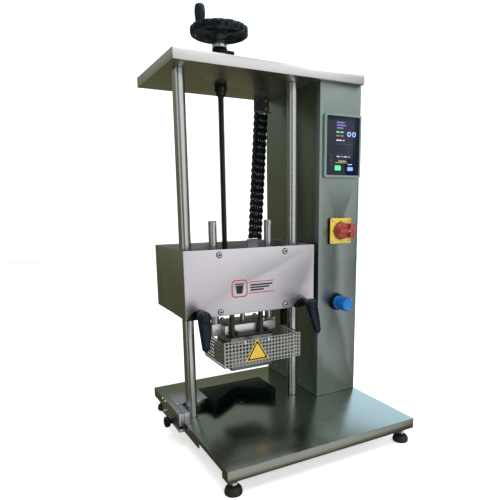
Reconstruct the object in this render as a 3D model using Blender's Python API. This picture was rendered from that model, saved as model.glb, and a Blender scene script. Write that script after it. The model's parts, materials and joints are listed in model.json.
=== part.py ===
"""Cup sealing machine: a hand-cranked head on two columns, with a pneumatic hot press.

All sizes are in metres and +Z is up.  The machine's own datum is the left front corner of
the table's top face; ORIGIN moves that datum so that the world's origin is the middle of
the footprint at floor level.  Each named piece is a separate solid.  Pieces that touch
keep GAP between them, and pieces that run on each other keep RUNNING.
"""

import math

import bmesh
import bpy
from mathutils import Matrix, Vector

MM = 0.001
GAP = 0.3 * MM
RUNNING = 0.4 * MM
ROUND = 32                      # sides of a normal round piece
FINE = 48                       # sides of a large round piece

# ---------------------------------------------------------------- driving sizes
# floor, feet and table
TABLE_HEIGHT = 56 * MM          # floor to the table's top face
TABLE_DEPTH = 470 * MM
TABLE_FLANGE = 22.5 * MM
TABLE_SHEET = 3 * MM
FOOT_INSET = 19 * MM
FOOT_PAD_R = 17 * MM
FOOT_PAD_H = 18 * MM
FOOT_STEM_R = 5 * MM
FOOT_BOSS_R = 11 * MM
FOOT_BOSS_H = 12 * MM
RELIEF_FRONT = 26 * MM          # grip cut-outs in the side flanges
RELIEF_BACK = 149 * MM
RELIEF_LEFT_HIGH = 10.5 * MM    # flange left above the cut-out

# columns and top plate
COLUMN_R = 12.5 * MM
COLUMN_INSET = 26.5 * MM        # left column's axis from the table's left edge
COLUMN_SPACING = 264 * MM
COLUMN_Y = 258 * MM
COLUMN_HEIGHT = 733 * MM        # table's top face to the top plate's underside
TOP_THICK = 21.5 * MM
TOP_FRONT_Y = 198 * MM
TOP_SHIFT = -3 * MM             # top plate's left edge from the table's left edge
TOP_BACK_INSET = 10 * MM

# control tower
TOWER_WIDTH = 114 * MM
TOWER_GAP = 19 * MM             # head cover to the tower's left side
TOWER_EDGE = 2 * MM             # tower's right side to the table's right edge
TOWER_FRONT_Y = 210 * MM
TOWER_SHEET = 2 * MM
TOWER_RETURN = 14 * MM

# head box and carriage
HEAD_BOTTOM = 235.5 * MM        # above the table, at rest
HEAD_HEIGHT = 141.5 * MM
HEAD_SIDE = 24.5 * MM           # cover's edge to the column's axis
HEAD_FRONT_Y = 200 * MM
HEAD_DEPTH = 198 * MM
HEAD_SHEET = 2 * MM
HEAD_RETURN = 12 * MM
ARCH_R = 29 * MM
ARCH_RISE = 19 * MM
ARCH_INBOARD = 5.5 * MM         # arch's middle, inboard of the column's axis
PLATE_RISE = 37 * MM            # carriage plate's underside above the head's bottom
PLATE_THICK = 15 * MM
PLATE_FRONT_Y = 234 * MM
PLATE_BACK_GAP = 8 * MM
NUT_SLEEVE_R = 14 * MM
NUT_FLANGE_R = 21 * MM
NUT_FLANGE_H = 20 * MM

# spindle, bearing and handwheel
SPINDLE_R = 7 * MM
SPINDLE_Y = 353 * MM
SPINDLE_FOOT = 20 * MM          # spindle's lower end above the head's bottom
BEARING_R = 14 * MM
BEARING_DROP = 22 * MM
BEARING_SLEEVE_R = 11.5 * MM
CAP_R = 20 * MM
CAP_H = 43 * MM
LOCK_R = 17 * MM
LOCK_H = 12.5 * MM
LOCK_ARM = 36 * MM
HUB_R = 16.5 * MM
HUB_H = 25 * MM
WHEEL_R = 65 * MM
WHEEL_RIM = 12 * MM
WHEEL_H = 17 * MM
WHEEL_HUB_R = 24 * MM
WHEEL_WEB = 4 * MM              # closed web between the wheel's hub and rim
WHEEL_RIBS = 3
RIB_W = 14 * MM
CRANK_REACH = 51 * MM
CRANK_ANGLE = math.radians(194)
CRANK_R = 11.5 * MM
CRANK_H = 38 * MM
CRANK_PIN_R = 4 * MM

# column clamps and their levers
CLAMP_HALF = 21 * MM
CLAMP_BELOW = 3 * MM            # clamp block's underside below the head's bottom
CLAMP_FRONT_GAP = 3 * MM        # clamp block's front to the head cover's back
CLAMP_BEHIND = 26 * MM          # clamp block's back behind the column's axis
LEVER_INBOARD = 3 * MM          # lever's axis, inboard of the column's axis
LEVER_RISE = 10 * MM            # lever's axis above the head's bottom
LEVER_NECK_R = 7 * MM
LEVER_HEAD_R = 13.5 * MM
LEVER_TIP_R = 6.5 * MM
LEVER_REACH = 68 * MM
LEVER_STANDOFF = 3 * MM         # lever's hub to the head cover
LEVER_HUB_LENGTH = 40 * MM
LEVER_ARM_THICK = 15 * MM
LEVER_LEANS = {"left": math.radians(2), "right": math.radians(15)}

# press: cylinder, guide rods, cross bar, hot tool and guard
PRESS_Y = 260 * MM
ROD_R = 9 * MM
ROD_SPREAD = 136 * MM
ROD_TOP = 198 * MM              # rods' top above the head's bottom
BUSH_R = 13 * MM
BUSH_FLANGE_R = 18 * MM
BUSH_ABOVE = 22 * MM            # bush's top above the carriage plate
BUSH_BELOW = 12 * MM
CYLINDER_HALF = 25 * MM
CYLINDER_H = 66 * MM
PISTON_R = 6 * MM
PISTON_CROWN = 12 * MM          # cylinder head above the piston's bore
BAR_BLOCK = 24 * MM             # clamp block on each guide rod, square in plan
BAR_BLOCK_DROP = 56 * MM        # clamp blocks' underside below the head's bottom
BAR_BLOCK_H = 27 * MM
BAR_HALF = 60 * MM              # mounting plate between the clamp blocks
BAR_FRONT_Y = 224 * MM
BAR_BACK_Y = 296 * MM
BAR_H = 20 * MM
STOP_HALF = 4.5 * MM
STOP_H = 100 * MM
STOP_FRONT_Y = 210 * MM         # front of the ledge that the stroke rods stand on
LEDGE_H = 6 * MM
TOOL_WIDTH = 103 * MM
STOP_X = (STOP_HALF - TOOL_WIDTH / 2, 23.5 * MM)   # stroke rods, from the press axis
TOOL_DEPTH = 100 * MM
TOOL_FRONT_Y = 212 * MM
TOOL_DROP = 50 * MM             # tool plate's top below the head's bottom
TOOL_PLATE_H = 19 * MM
INSULATION_H = 20 * MM
INSULATION_INSET = 6 * MM
HEATER_H = 24 * MM
DIE_H = 17 * MM
GUARD_SHEET = 1.5 * MM
GUARD_FRONT_Y = 187 * MM
GUARD_BACK_Y = 303 * MM
GUARD_LEFT = 79 * MM            # guard's left side, left of the press axis
GUARD_RIGHT = 111.5 * MM
GUARD_H = 57 * MM
GUARD_TOP_DROP = 56 * MM        # guard's top edge below the head's bottom
GUARD_PIN_R = 2.5 * MM
GUARD_PIN_SPREAD = 58 * MM
GUARD_PIN_DROP = 6 * MM
CABLE_R = 9 * MM
CABLE_X = 88 * MM               # heater cable, right of the press axis
CABLE_Y = 222 * MM
CABLE_H = 130 * MM

# energy chain
CHAIN_WIDTH = 30 * MM
CHAIN_THICK = 20 * MM
CHAIN_TOP_X = 286 * MM
CHAIN_TOP_Y = 400 * MM
CHAIN_TOP_DROP = 41 * MM        # chain's top end below the top plate
CHAIN_FOOT_X = 254 * MM
CHAIN_FOOT_BACK = 19 * MM       # chain's lower end, in front of the head's back panel
CHAIN_FOOT_RISE = 4 * MM        # chain's lower end above the head's top edge
CHAIN_SHEET = 4 * MM            # chain brackets
CHAIN_LUG_WIDTH = 42 * MM
CHAIN_LUG_DEEP = 30 * MM

# cup stop: vee block on a slide bar at the table's left side
VEE_WIDTH = 168 * MM
VEE_MOUTH = 142 * MM
VEE_FRONT_Y = 255 * MM
VEE_DEPTH = 90 * MM
VEE_NOTCH = 54 * MM
VEE_H = 25 * MM
VEE_ROOT_FLAT = 5 * MM
SLIDE_THICK = 12 * MM
SLIDE_HIGH = 25 * MM            # slide bar above the table's top face
SLIDE_LOW = 16 * MM
SLIDE_FRONT_Y = 222 * MM
SLIDE_STANDOFF = 3 * MM
SLOT_BACK_Y = 270 * MM
SLOT_R = 3.4 * MM
SLOT_Z = -6 * MM
LINK_DEPTH = 64 * MM
LINK_THICK = 10 * MM
GUIDE_WIDTH = 13 * MM
GUIDE_BACK_Y = 277 * MM
STUD_R = 3 * MM
STUD_END = 8 * MM               # stud's end inside the table's flange
STAR_Y = 266.3 * MM
STAR_R = 12 * MM
STAR_H = 11 * MM
STAR_NECK_R = 5.5 * MM
STAR_NECK = 8 * MM
STAR_LOBES = 7

# controls on the tower's front, measured down from the top plate
SCREEN_WIDTH = 103 * MM
SCREEN_HIGH = 140 * MM
SCREEN_X = 10 * MM              # panel's left edge from the tower's left side
SCREEN_DROP = 65.5 * MM
SCREEN_PROUD = 6 * MM
SCREEN_BORDER = 5 * MM
SCREEN_BODY = 34 * MM
SWITCH_SIZE = 60.5 * MM
SWITCH_X = 28 * MM
SWITCH_DROP = 297.5 * MM
SWITCH_PROUD = 6.5 * MM
SWITCH_BODY = 42 * MM
SWITCH_KNOB_R = 20 * MM
SWITCH_KNOB_H = 12 * MM
SWITCH_GRIP_W = 11 * MM
SWITCH_GRIP_H = 11 * MM
REGULATOR_X = 54.5 * MM
REGULATOR_DROP = 499 * MM
NUT_R = 20 * MM
NUT_H = 7 * MM
KNOB_R = 17 * MM
KNOB_H = 40 * MM
SHAFT_R = 4 * MM                # knob shafts, and how far they reach behind the panel
SHAFT_L = 12 * MM
REGULATOR_BODY_R = 22 * MM
REGULATOR_BODY_L = 46 * MM

# inside and behind the tower
SUPPLY_SIZE = Vector((40, 90, 120)) * MM
VALVE_SIZE = Vector((24, 60, 80)) * MM
SUPPLY_Z = 320 * MM
VALVE_Z = 120 * MM
CONTENTS_BACK = 90 * MM         # behind the tower's front
GLAND_R = 9 * MM
FITTING_R = 6 * MM
INLET_Z = 60 * MM
FITTING_Z = 110 * MM
INLET_PROUD = 9 * MM

# ---------------------------------------------------------------- derived sizes
PRESS_X = COLUMN_INSET + COLUMN_SPACING / 2
COLUMN_X = {"left": COLUMN_INSET, "right": COLUMN_INSET + COLUMN_SPACING}
COVER_X = (COLUMN_X["left"] - HEAD_SIDE, COLUMN_X["right"] + HEAD_SIDE)
TOWER_X = (COVER_X[1] + TOWER_GAP, COVER_X[1] + TOWER_GAP + TOWER_WIDTH)
TABLE_WIDTH = TOWER_X[1] + TOWER_EDGE
TOP_BACK_Y = TABLE_DEPTH - TOP_BACK_INSET
HEAD_TOP = HEAD_BOTTOM + HEAD_HEIGHT
HEAD_BACK_Y = HEAD_FRONT_Y + HEAD_DEPTH
PLATE_Z = HEAD_BOTTOM + PLATE_RISE
PLATE_TOP = PLATE_Z + PLATE_THICK
TOP_FACE = COLUMN_HEIGHT + TOP_THICK
SLIDE_X = (-SLIDE_STANDOFF - SLIDE_THICK, -SLIDE_STANDOFF)
VEE_BACK_Y = VEE_FRONT_Y + VEE_DEPTH
STAR_X = SLIDE_X[0] - GAP - STAR_NECK - STAR_H
ORIGIN = Vector((-(STAR_X + TABLE_WIDTH) / 2, -TABLE_DEPTH / 2, TABLE_HEIGHT))

# ---------------------------------------------------------------- materials
FINISHES = {
    "stainless": ((0.62, 0.63, 0.62), 0.30, 1.0),
    "polished_steel": ((0.70, 0.70, 0.71), 0.12, 1.0),
    "aluminium": ((0.78, 0.79, 0.79), 0.35, 1.0),
    "black_plastic": ((0.015, 0.017, 0.018), 0.35, 0.0),
    "black_rubber": ((0.02, 0.02, 0.02), 0.75, 0.0),
    "dark_steel": ((0.08, 0.09, 0.09), 0.40, 1.0),
    "yellow_plastic": ((0.85, 0.65, 0.03), 0.40, 0.0),
    "red_plastic": ((0.65, 0.05, 0.02), 0.35, 0.0),
    "blue_plastic": ((0.02, 0.16, 0.60), 0.35, 0.0),
    "screen_glass": ((0.02, 0.04, 0.10), 0.08, 0.0),
    "brass": ((0.70, 0.52, 0.22), 0.30, 1.0),
    "galvanised": ((0.45, 0.46, 0.46), 0.45, 1.0),
}


def clear_scene():
    for item in list(bpy.data.objects):
        bpy.data.objects.remove(item, do_unlink=True)


def make_materials():
    made = {}
    for name, (colour, roughness, metallic) in FINISHES.items():
        material = bpy.data.materials.new(name)
        material.use_nodes = True
        shader = material.node_tree.nodes["Principled BSDF"]
        shader.inputs["Base Color"].default_value = (*colour, 1.0)
        shader.inputs["Roughness"].default_value = roughness
        shader.inputs["Metallic"].default_value = metallic
        made[name] = material
    return made


# ---------------------------------------------------------------- modelling helpers
def place(name, bm, pivot, material=None, cutter=False):
    """Turns bm, modelled about pivot, into an object standing at pivot."""
    bmesh.ops.recalc_face_normals(bm, faces=bm.faces)
    mesh = bpy.data.meshes.new(name)
    bm.to_mesh(mesh)
    bm.free()
    item = bpy.data.objects.new(name, mesh)
    item.location = Vector(pivot) + ORIGIN
    bpy.context.scene.collection.objects.link(item)
    if cutter:
        item.hide_render = True
        item.display_type = "WIRE"
    else:
        mesh.materials.append(MATERIALS[material])
    mesh.shade_smooth()
    mesh.set_sharp_from_angle(angle=math.radians(35))
    return item


def block(name, low, high, material=None, pivot=None, cutter=False):
    """A box between two corners."""
    low, high = Vector(low), Vector(high)
    pivot = (low + high) / 2 if pivot is None else Vector(pivot)
    bm = bmesh.new()
    shape = Matrix.Translation((low + high) / 2 - pivot) @ Matrix.Diagonal((*(high - low), 1))
    bmesh.ops.create_cube(bm, size=1, matrix=shape)
    return place(name, bm, pivot, material, cutter)


AXIS_TURNS = {
    "X": Matrix.Rotation(math.pi / 2, 4, "Y"),
    "Y": Matrix.Rotation(-math.pi / 2, 4, "X"),
    "Z": Matrix.Identity(4),
}


def turned(name, profile, pivot, axis="Z", material=None, sides=ROUND, cutter=False):
    """A solid of revolution: profile lists (radius, height along the axis) of its rings.

    An open profile runs from one end to the other and gets a flat face at each end.
    A profile whose last point is its first makes a tube.
    """
    bm = bmesh.new()
    closed = profile[0] == profile[-1]
    rings = []
    for radius, height in profile[:-1] if closed else profile:
        ring = []
        for step in range(sides):
            angle = 2 * math.pi * step / sides
            ring.append(bm.verts.new((radius * math.cos(angle), radius * math.sin(angle), height)))
        rings.append(ring)
    pairs = list(zip(rings, rings[1:]))
    if closed:
        pairs.append((rings[-1], rings[0]))
    else:
        bm.faces.new(rings[0])
        bm.faces.new(rings[-1])
    for lower, upper in pairs:
        for step in range(sides):
            after = (step + 1) % sides
            bm.faces.new((lower[step], lower[after], upper[after], upper[step]))
    bm.transform(AXIS_TURNS[axis])
    return place(name, bm, pivot, material, cutter)


def rod(name, radius, low, high, pivot, axis="Z", material=None, sides=ROUND, cutter=False):
    """A plain cylinder between two heights along its axis, measured from pivot."""
    return turned(name, [(radius, low), (radius, high)], pivot, axis, material, sides, cutter)


def tube(name, inner, outer, low, high, pivot, axis="Z", material=None, sides=ROUND):
    ring = [(inner, low), (outer, low), (outer, high), (inner, high), (inner, low)]
    return turned(name, ring, pivot, axis, material, sides)


def prism(name, outline, low, high, pivot, axis="Z", material=None, cutter=False):
    """An outline of (u, v) points about pivot, extruded from low to high along axis.

    The outline lies in XY for axis Z, and in XZ for axis Y.
    """
    bm = bmesh.new()
    corners = []
    for u, v in outline:
        spot = (u, v, low) if axis == "Z" else (u, low, v)
        corners.append(bm.verts.new(spot))
    face = bm.faces.new(corners)
    grown = bmesh.ops.extrude_face_region(bm, geom=[face])
    push = Vector((0, 0, high - low)) if axis == "Z" else Vector((0, high - low, 0))
    moved = [piece for piece in grown["geom"] if isinstance(piece, bmesh.types.BMVert)]
    bmesh.ops.translate(bm, vec=push, verts=moved)
    return place(name, bm, pivot, material, cutter)


def arc(centre, radius, start, end, steps):
    """Points on an arc, angles in radians, both ends included."""
    points = []
    for step in range(steps + 1):
        angle = start + (end - start) * step / steps
        points.append((centre[0] + radius * math.cos(angle), centre[1] + radius * math.sin(angle)))
    return points


def combine(target, others, operation):
    for other in others:
        other.hide_render = True
        other.display_type = "WIRE"
        step = target.modifiers.new(operation.title() + " " + other.name, "BOOLEAN")
        step.operation = operation
        step.solver = "EXACT"
        step.object = other
    return target


def cut(target, *cutters):
    return combine(target, cutters, "DIFFERENCE")


def weld(target, *extras):
    return combine(target, extras, "UNION")


def assembly(name, pivot, parent=None):
    """An empty on a joint's axis, which carries the pieces of one moving body."""
    empty = bpy.data.objects.new(name, None)
    empty.empty_display_size = 0.03
    bpy.context.scene.collection.objects.link(empty)
    empty["spot"] = tuple(Vector(pivot) + ORIGIN)
    empty.location = empty["spot"]
    if parent:
        empty.parent = parent
        empty.location = Vector(empty["spot"]) - Vector(parent["spot"])
    return empty


def attach(parent, *items):
    for item in items:
        item.parent = parent
        item.location = Vector(item.location) - Vector(parent["spot"])


# ---------------------------------------------------------------- table and feet
def foot_spots():
    near, far = FOOT_INSET, TABLE_DEPTH - FOOT_INSET
    left, right = FOOT_INSET, TABLE_WIDTH - FOOT_INSET
    return {
        "front_left": (left, near),
        "front_right": (right, near),
        "back_left": (left, far),
        "back_right": (right, far),
    }


def make_table():
    table = block("base_plate", (0, 0, -TABLE_FLANGE), (TABLE_WIDTH, TABLE_DEPTH, 0), "stainless")
    sheet = TABLE_SHEET
    inside = block("table_inside", (sheet, sheet, -2 * TABLE_FLANGE),
                   (TABLE_WIDTH - sheet, TABLE_DEPTH - sheet, -sheet), cutter=True)
    reliefs = block("table_reliefs", (-sheet, RELIEF_FRONT, -2 * TABLE_FLANGE),
                    (TABLE_WIDTH + sheet, RELIEF_BACK, -RELIEF_LEFT_HIGH), cutter=True)
    cut(table, inside, reliefs)
    for place_name, (x, y) in foot_spots().items():
        boss = rod("boss_" + place_name, FOOT_BOSS_R, -sheet - FOOT_BOSS_H, -sheet / 2, (x, y, 0),
                   sides=24, cutter=True)
        weld(table, boss)
    for place_name, (x, y) in foot_spots().items():
        hole = rod("thread_" + place_name, FOOT_STEM_R + RUNNING, -2 * FOOT_BOSS_H - sheet,
                   -sheet - GAP, (x, y, 0), sides=24, cutter=True)
        cut(table, hole)
    stud_hole = rod("stud_hole", STUD_R + RUNNING, -2 * sheet, 3 * sheet,
                    (0, STAR_Y, SLOT_Z), "X", sides=16, cutter=True)
    cut(table, stud_hole)


def make_feet():
    pad_top = -TABLE_HEIGHT + FOOT_PAD_H
    for place_name, (x, y) in foot_spots().items():
        profile = [
            (FOOT_PAD_R * 0.9, -TABLE_HEIGHT),
            (FOOT_PAD_R, -TABLE_HEIGHT + 2 * MM),
            (FOOT_PAD_R, -TABLE_HEIGHT + 7 * MM),
            (FOOT_PAD_R * 0.82, -TABLE_HEIGHT + 13 * MM),
            (FOOT_PAD_R * 0.5, pad_top),
            (FOOT_STEM_R, pad_top),
            (FOOT_STEM_R, -TABLE_SHEET - 2 * MM),
        ]
        foot = turned("foot_" + place_name, profile, (x, y, 0), material="black_rubber", sides=24)
        attach(assembly("axis_foot_" + place_name, (x, y, 0)), foot)


# ---------------------------------------------------------------- columns, top plate, tower
def make_columns():
    for side, x in COLUMN_X.items():
        rod("column_" + side, COLUMN_R, GAP, COLUMN_HEIGHT - GAP, (x, COLUMN_Y, 0),
            material="polished_steel", sides=FINE)


def make_top_plate():
    top = block("top_plate", (TOP_SHIFT, TOP_FRONT_Y, COLUMN_HEIGHT),
                (TOP_SHIFT + TABLE_WIDTH, TOP_BACK_Y, TOP_FACE), "aluminium")
    sleeve_hole = rod("sleeve_hole", BEARING_SLEEVE_R + GAP, -TOP_THICK, 2 * TOP_THICK,
                      (PRESS_X, SPINDLE_Y, COLUMN_HEIGHT), sides=ROUND, cutter=True)
    cut(top, sleeve_hole)


def screen_box():
    left = TOWER_X[0] + SCREEN_X
    top = COLUMN_HEIGHT - SCREEN_DROP
    return left, left + SCREEN_WIDTH, top - SCREEN_HIGH, top


def switch_spot():
    middle = SWITCH_SIZE / 2
    return TOWER_X[0] + SWITCH_X + middle, COLUMN_HEIGHT - SWITCH_DROP - middle


def regulator_spot():
    return TOWER_X[0] + REGULATOR_X, COLUMN_HEIGHT - REGULATOR_DROP


def make_tower():
    sheet = TOWER_SHEET
    back = TOP_BACK_Y - sheet - GAP
    left, right = TOWER_X
    low, high = GAP, COLUMN_HEIGHT - GAP
    shell = block("tower_shell", (left, TOWER_FRONT_Y, low), (right, back, high), "stainless")
    inside = block("tower_inside", (left + sheet, TOWER_FRONT_Y + sheet, low + sheet),
                   (right - sheet, back - sheet, high - sheet), cutter=True)
    doorway = block("tower_doorway", (left + TOWER_RETURN, back - 3 * sheet, low + TOWER_RETURN),
                    (right - TOWER_RETURN, back + sheet, high - TOWER_RETURN), cutter=True)
    x0, x1, z0, z1 = screen_box()
    rim = SCREEN_BORDER
    window = block("screen_window", (x0 + rim, TOWER_FRONT_Y - sheet, z0 + rim),
                   (x1 - rim, TOWER_FRONT_Y + 2 * sheet, z1 - rim), cutter=True)
    switch_x, switch_z = switch_spot()
    switch_hole = rod("switch_hole", SHAFT_R + RUNNING + sheet, -sheet, 2 * sheet,
                      (switch_x, TOWER_FRONT_Y, switch_z), "Y", sides=24, cutter=True)
    knob_x, knob_z = regulator_spot()
    knob_hole = rod("regulator_hole", KNOB_R * 0.8 + GAP, -sheet, 2 * sheet,
                    (knob_x, TOWER_FRONT_Y, knob_z), "Y", sides=24, cutter=True)
    cut(shell, inside, doorway, window, switch_hole, knob_hole)

    cover = block("tower_rear_cover", (left, TOP_BACK_Y - sheet, low),
                  (right, TOP_BACK_Y, high), "stainless")
    middle = (left + right) / 2
    gland_hole = rod("gland_hole", GLAND_R + GAP, -2 * sheet, sheet,
                     (middle, TOP_BACK_Y, INLET_Z), "Y", sides=24, cutter=True)
    fitting_hole = rod("fitting_hole", FITTING_R + GAP, -2 * sheet, sheet,
                       (middle, TOP_BACK_Y, FITTING_Z), "Y", sides=24, cutter=True)
    cut(cover, gland_hole, fitting_hole)
    for name, radius, z, finish in (("cable_gland", GLAND_R, INLET_Z, "black_plastic"),
                                    ("air_fitting", FITTING_R, FITTING_Z, "brass")):
        profile = [
            (radius, -22 * MM),
            (radius, GAP),
            (radius * 1.35, GAP),
            (radius * 1.35, INLET_PROUD * 0.6),
            (radius * 0.9, INLET_PROUD),
            (radius * 0.45, INLET_PROUD),
            (radius * 0.45, -22 * MM),
            (radius, -22 * MM),
        ]
        turned(name, profile, (middle, TOP_BACK_Y, z), "Y", finish, sides=24)


def make_tower_contents():
    """The power supply and the press valve, on the tower's right wall."""
    face = TOWER_X[1] - TOWER_SHEET - GAP
    for name, size, z, finish in (
        ("power_supply", SUPPLY_SIZE, SUPPLY_Z, "galvanised"),
        ("press_valve", VALVE_SIZE, VALVE_Z, "aluminium"),
    ):
        low = Vector((face - size.x, TOWER_FRONT_Y + CONTENTS_BACK, z))
        block(name, low, low + size, finish)


# ---------------------------------------------------------------- controls
def make_screen():
    x0, x1, z0, z1 = screen_box()
    front = TOWER_FRONT_Y - SCREEN_PROUD
    rim = SCREEN_BORDER
    panel = block("touch_panel", (x0, front, z0), (x1, TOWER_FRONT_Y - GAP, z1), "black_plastic")
    inset = rim + GAP
    body = block("touch_panel_body", (x0 + inset, front + 3 * MM, z0 + inset),
                 (x1 - inset, TOWER_FRONT_Y + SCREEN_BODY, z1 - inset), cutter=True)
    recess = block("touch_recess", (x0 + rim, front - 3 * MM, z0 + rim),
                   (x1 - rim, front + 1.5 * MM, z1 - rim), cutter=True)
    weld(panel, body)
    cut(panel, recess)
    edge = rim + GAP
    block("touch_screen", (x0 + edge, front + 0.4 * MM, z0 + edge),
          (x1 - edge, front + 1.5 * MM - GAP, z1 - edge), "screen_glass")


def make_switch():
    x, z = switch_spot()
    half = SWITCH_SIZE / 2
    front = TOWER_FRONT_Y - SWITCH_PROUD
    plate = block("switch_plate", (x - half, front, z - half), (x + half, TOWER_FRONT_Y - GAP, z + half),
                  "yellow_plastic")
    bore = rod("switch_bore", SHAFT_R + RUNNING, -2 * SWITCH_PROUD, 2 * SWITCH_PROUD,
               (x, TOWER_FRONT_Y, z), "Y", sides=24, cutter=True)
    cut(plate, bore)
    body_front = TOWER_FRONT_Y + TOWER_SHEET + GAP
    half = SWITCH_BODY / 2
    body = block("switch_body", (x - half, body_front, z - half),
                 (x + half, body_front + SWITCH_BODY, z + half), "black_plastic")
    socket = rod("switch_socket", SHAFT_R + RUNNING, -SHAFT_L, SHAFT_L + RUNNING,
                 (x, TOWER_FRONT_Y, z), "Y", sides=24, cutter=True)
    cut(body, socket)
    disc = SWITCH_PROUD + GAP
    tall = disc + SWITCH_KNOB_H
    profile = [
        (SWITCH_KNOB_R - 2 * MM, -tall),
        (SWITCH_KNOB_R, -tall + 2 * MM),
        (SWITCH_KNOB_R, -disc),
        (SHAFT_R, -disc),
        (SHAFT_R, SHAFT_L),
    ]
    knob = turned("switch_knob", profile, (x, TOWER_FRONT_Y, z), "Y", "red_plastic", sides=ROUND)
    grip = block("switch_grip", (x - SWITCH_KNOB_R + 1.5 * MM, TOWER_FRONT_Y - tall - SWITCH_GRIP_H,
                                 z - SWITCH_GRIP_W / 2),
                 (x + SWITCH_KNOB_R - 1.5 * MM, TOWER_FRONT_Y - tall + 3 * MM, z + SWITCH_GRIP_W / 2),
                 cutter=True)
    weld(knob, grip)
    attach(assembly("axis_switch", (x, TOWER_FRONT_Y, z)), knob)


def make_regulator():
    x, z = regulator_spot()
    spot = (x, TOWER_FRONT_Y, z)
    neck = KNOB_R * 0.8
    nut_front = -GAP - NUT_H
    inside = TOWER_SHEET + GAP
    tube("regulator_nut", neck + GAP, NUT_R, nut_front, -GAP, spot, "Y", "black_plastic", sides=24)
    profile = [
        (neck, nut_front),
        (neck, inside),
        (REGULATOR_BODY_R, inside),
        (REGULATOR_BODY_R, inside + REGULATOR_BODY_L),
    ]
    body = turned("regulator_body", profile, spot, "Y", "aluminium", sides=24)
    socket = rod("regulator_socket", SHAFT_R + RUNNING, 2 * nut_front, SHAFT_L + RUNNING, spot, "Y",
                 sides=16, cutter=True)
    cut(body, socket)
    back = nut_front - GAP
    front = back - KNOB_H
    profile = [
        (KNOB_R - 2 * MM, front),
        (KNOB_R, front + 2 * MM),
        (KNOB_R, back),
        (SHAFT_R, back),
        (SHAFT_R, SHAFT_L),
    ]
    knob = turned("regulator_knob", profile, spot, "Y", "blue_plastic", sides=24)
    attach(assembly("axis_regulator", spot), knob)


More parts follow.
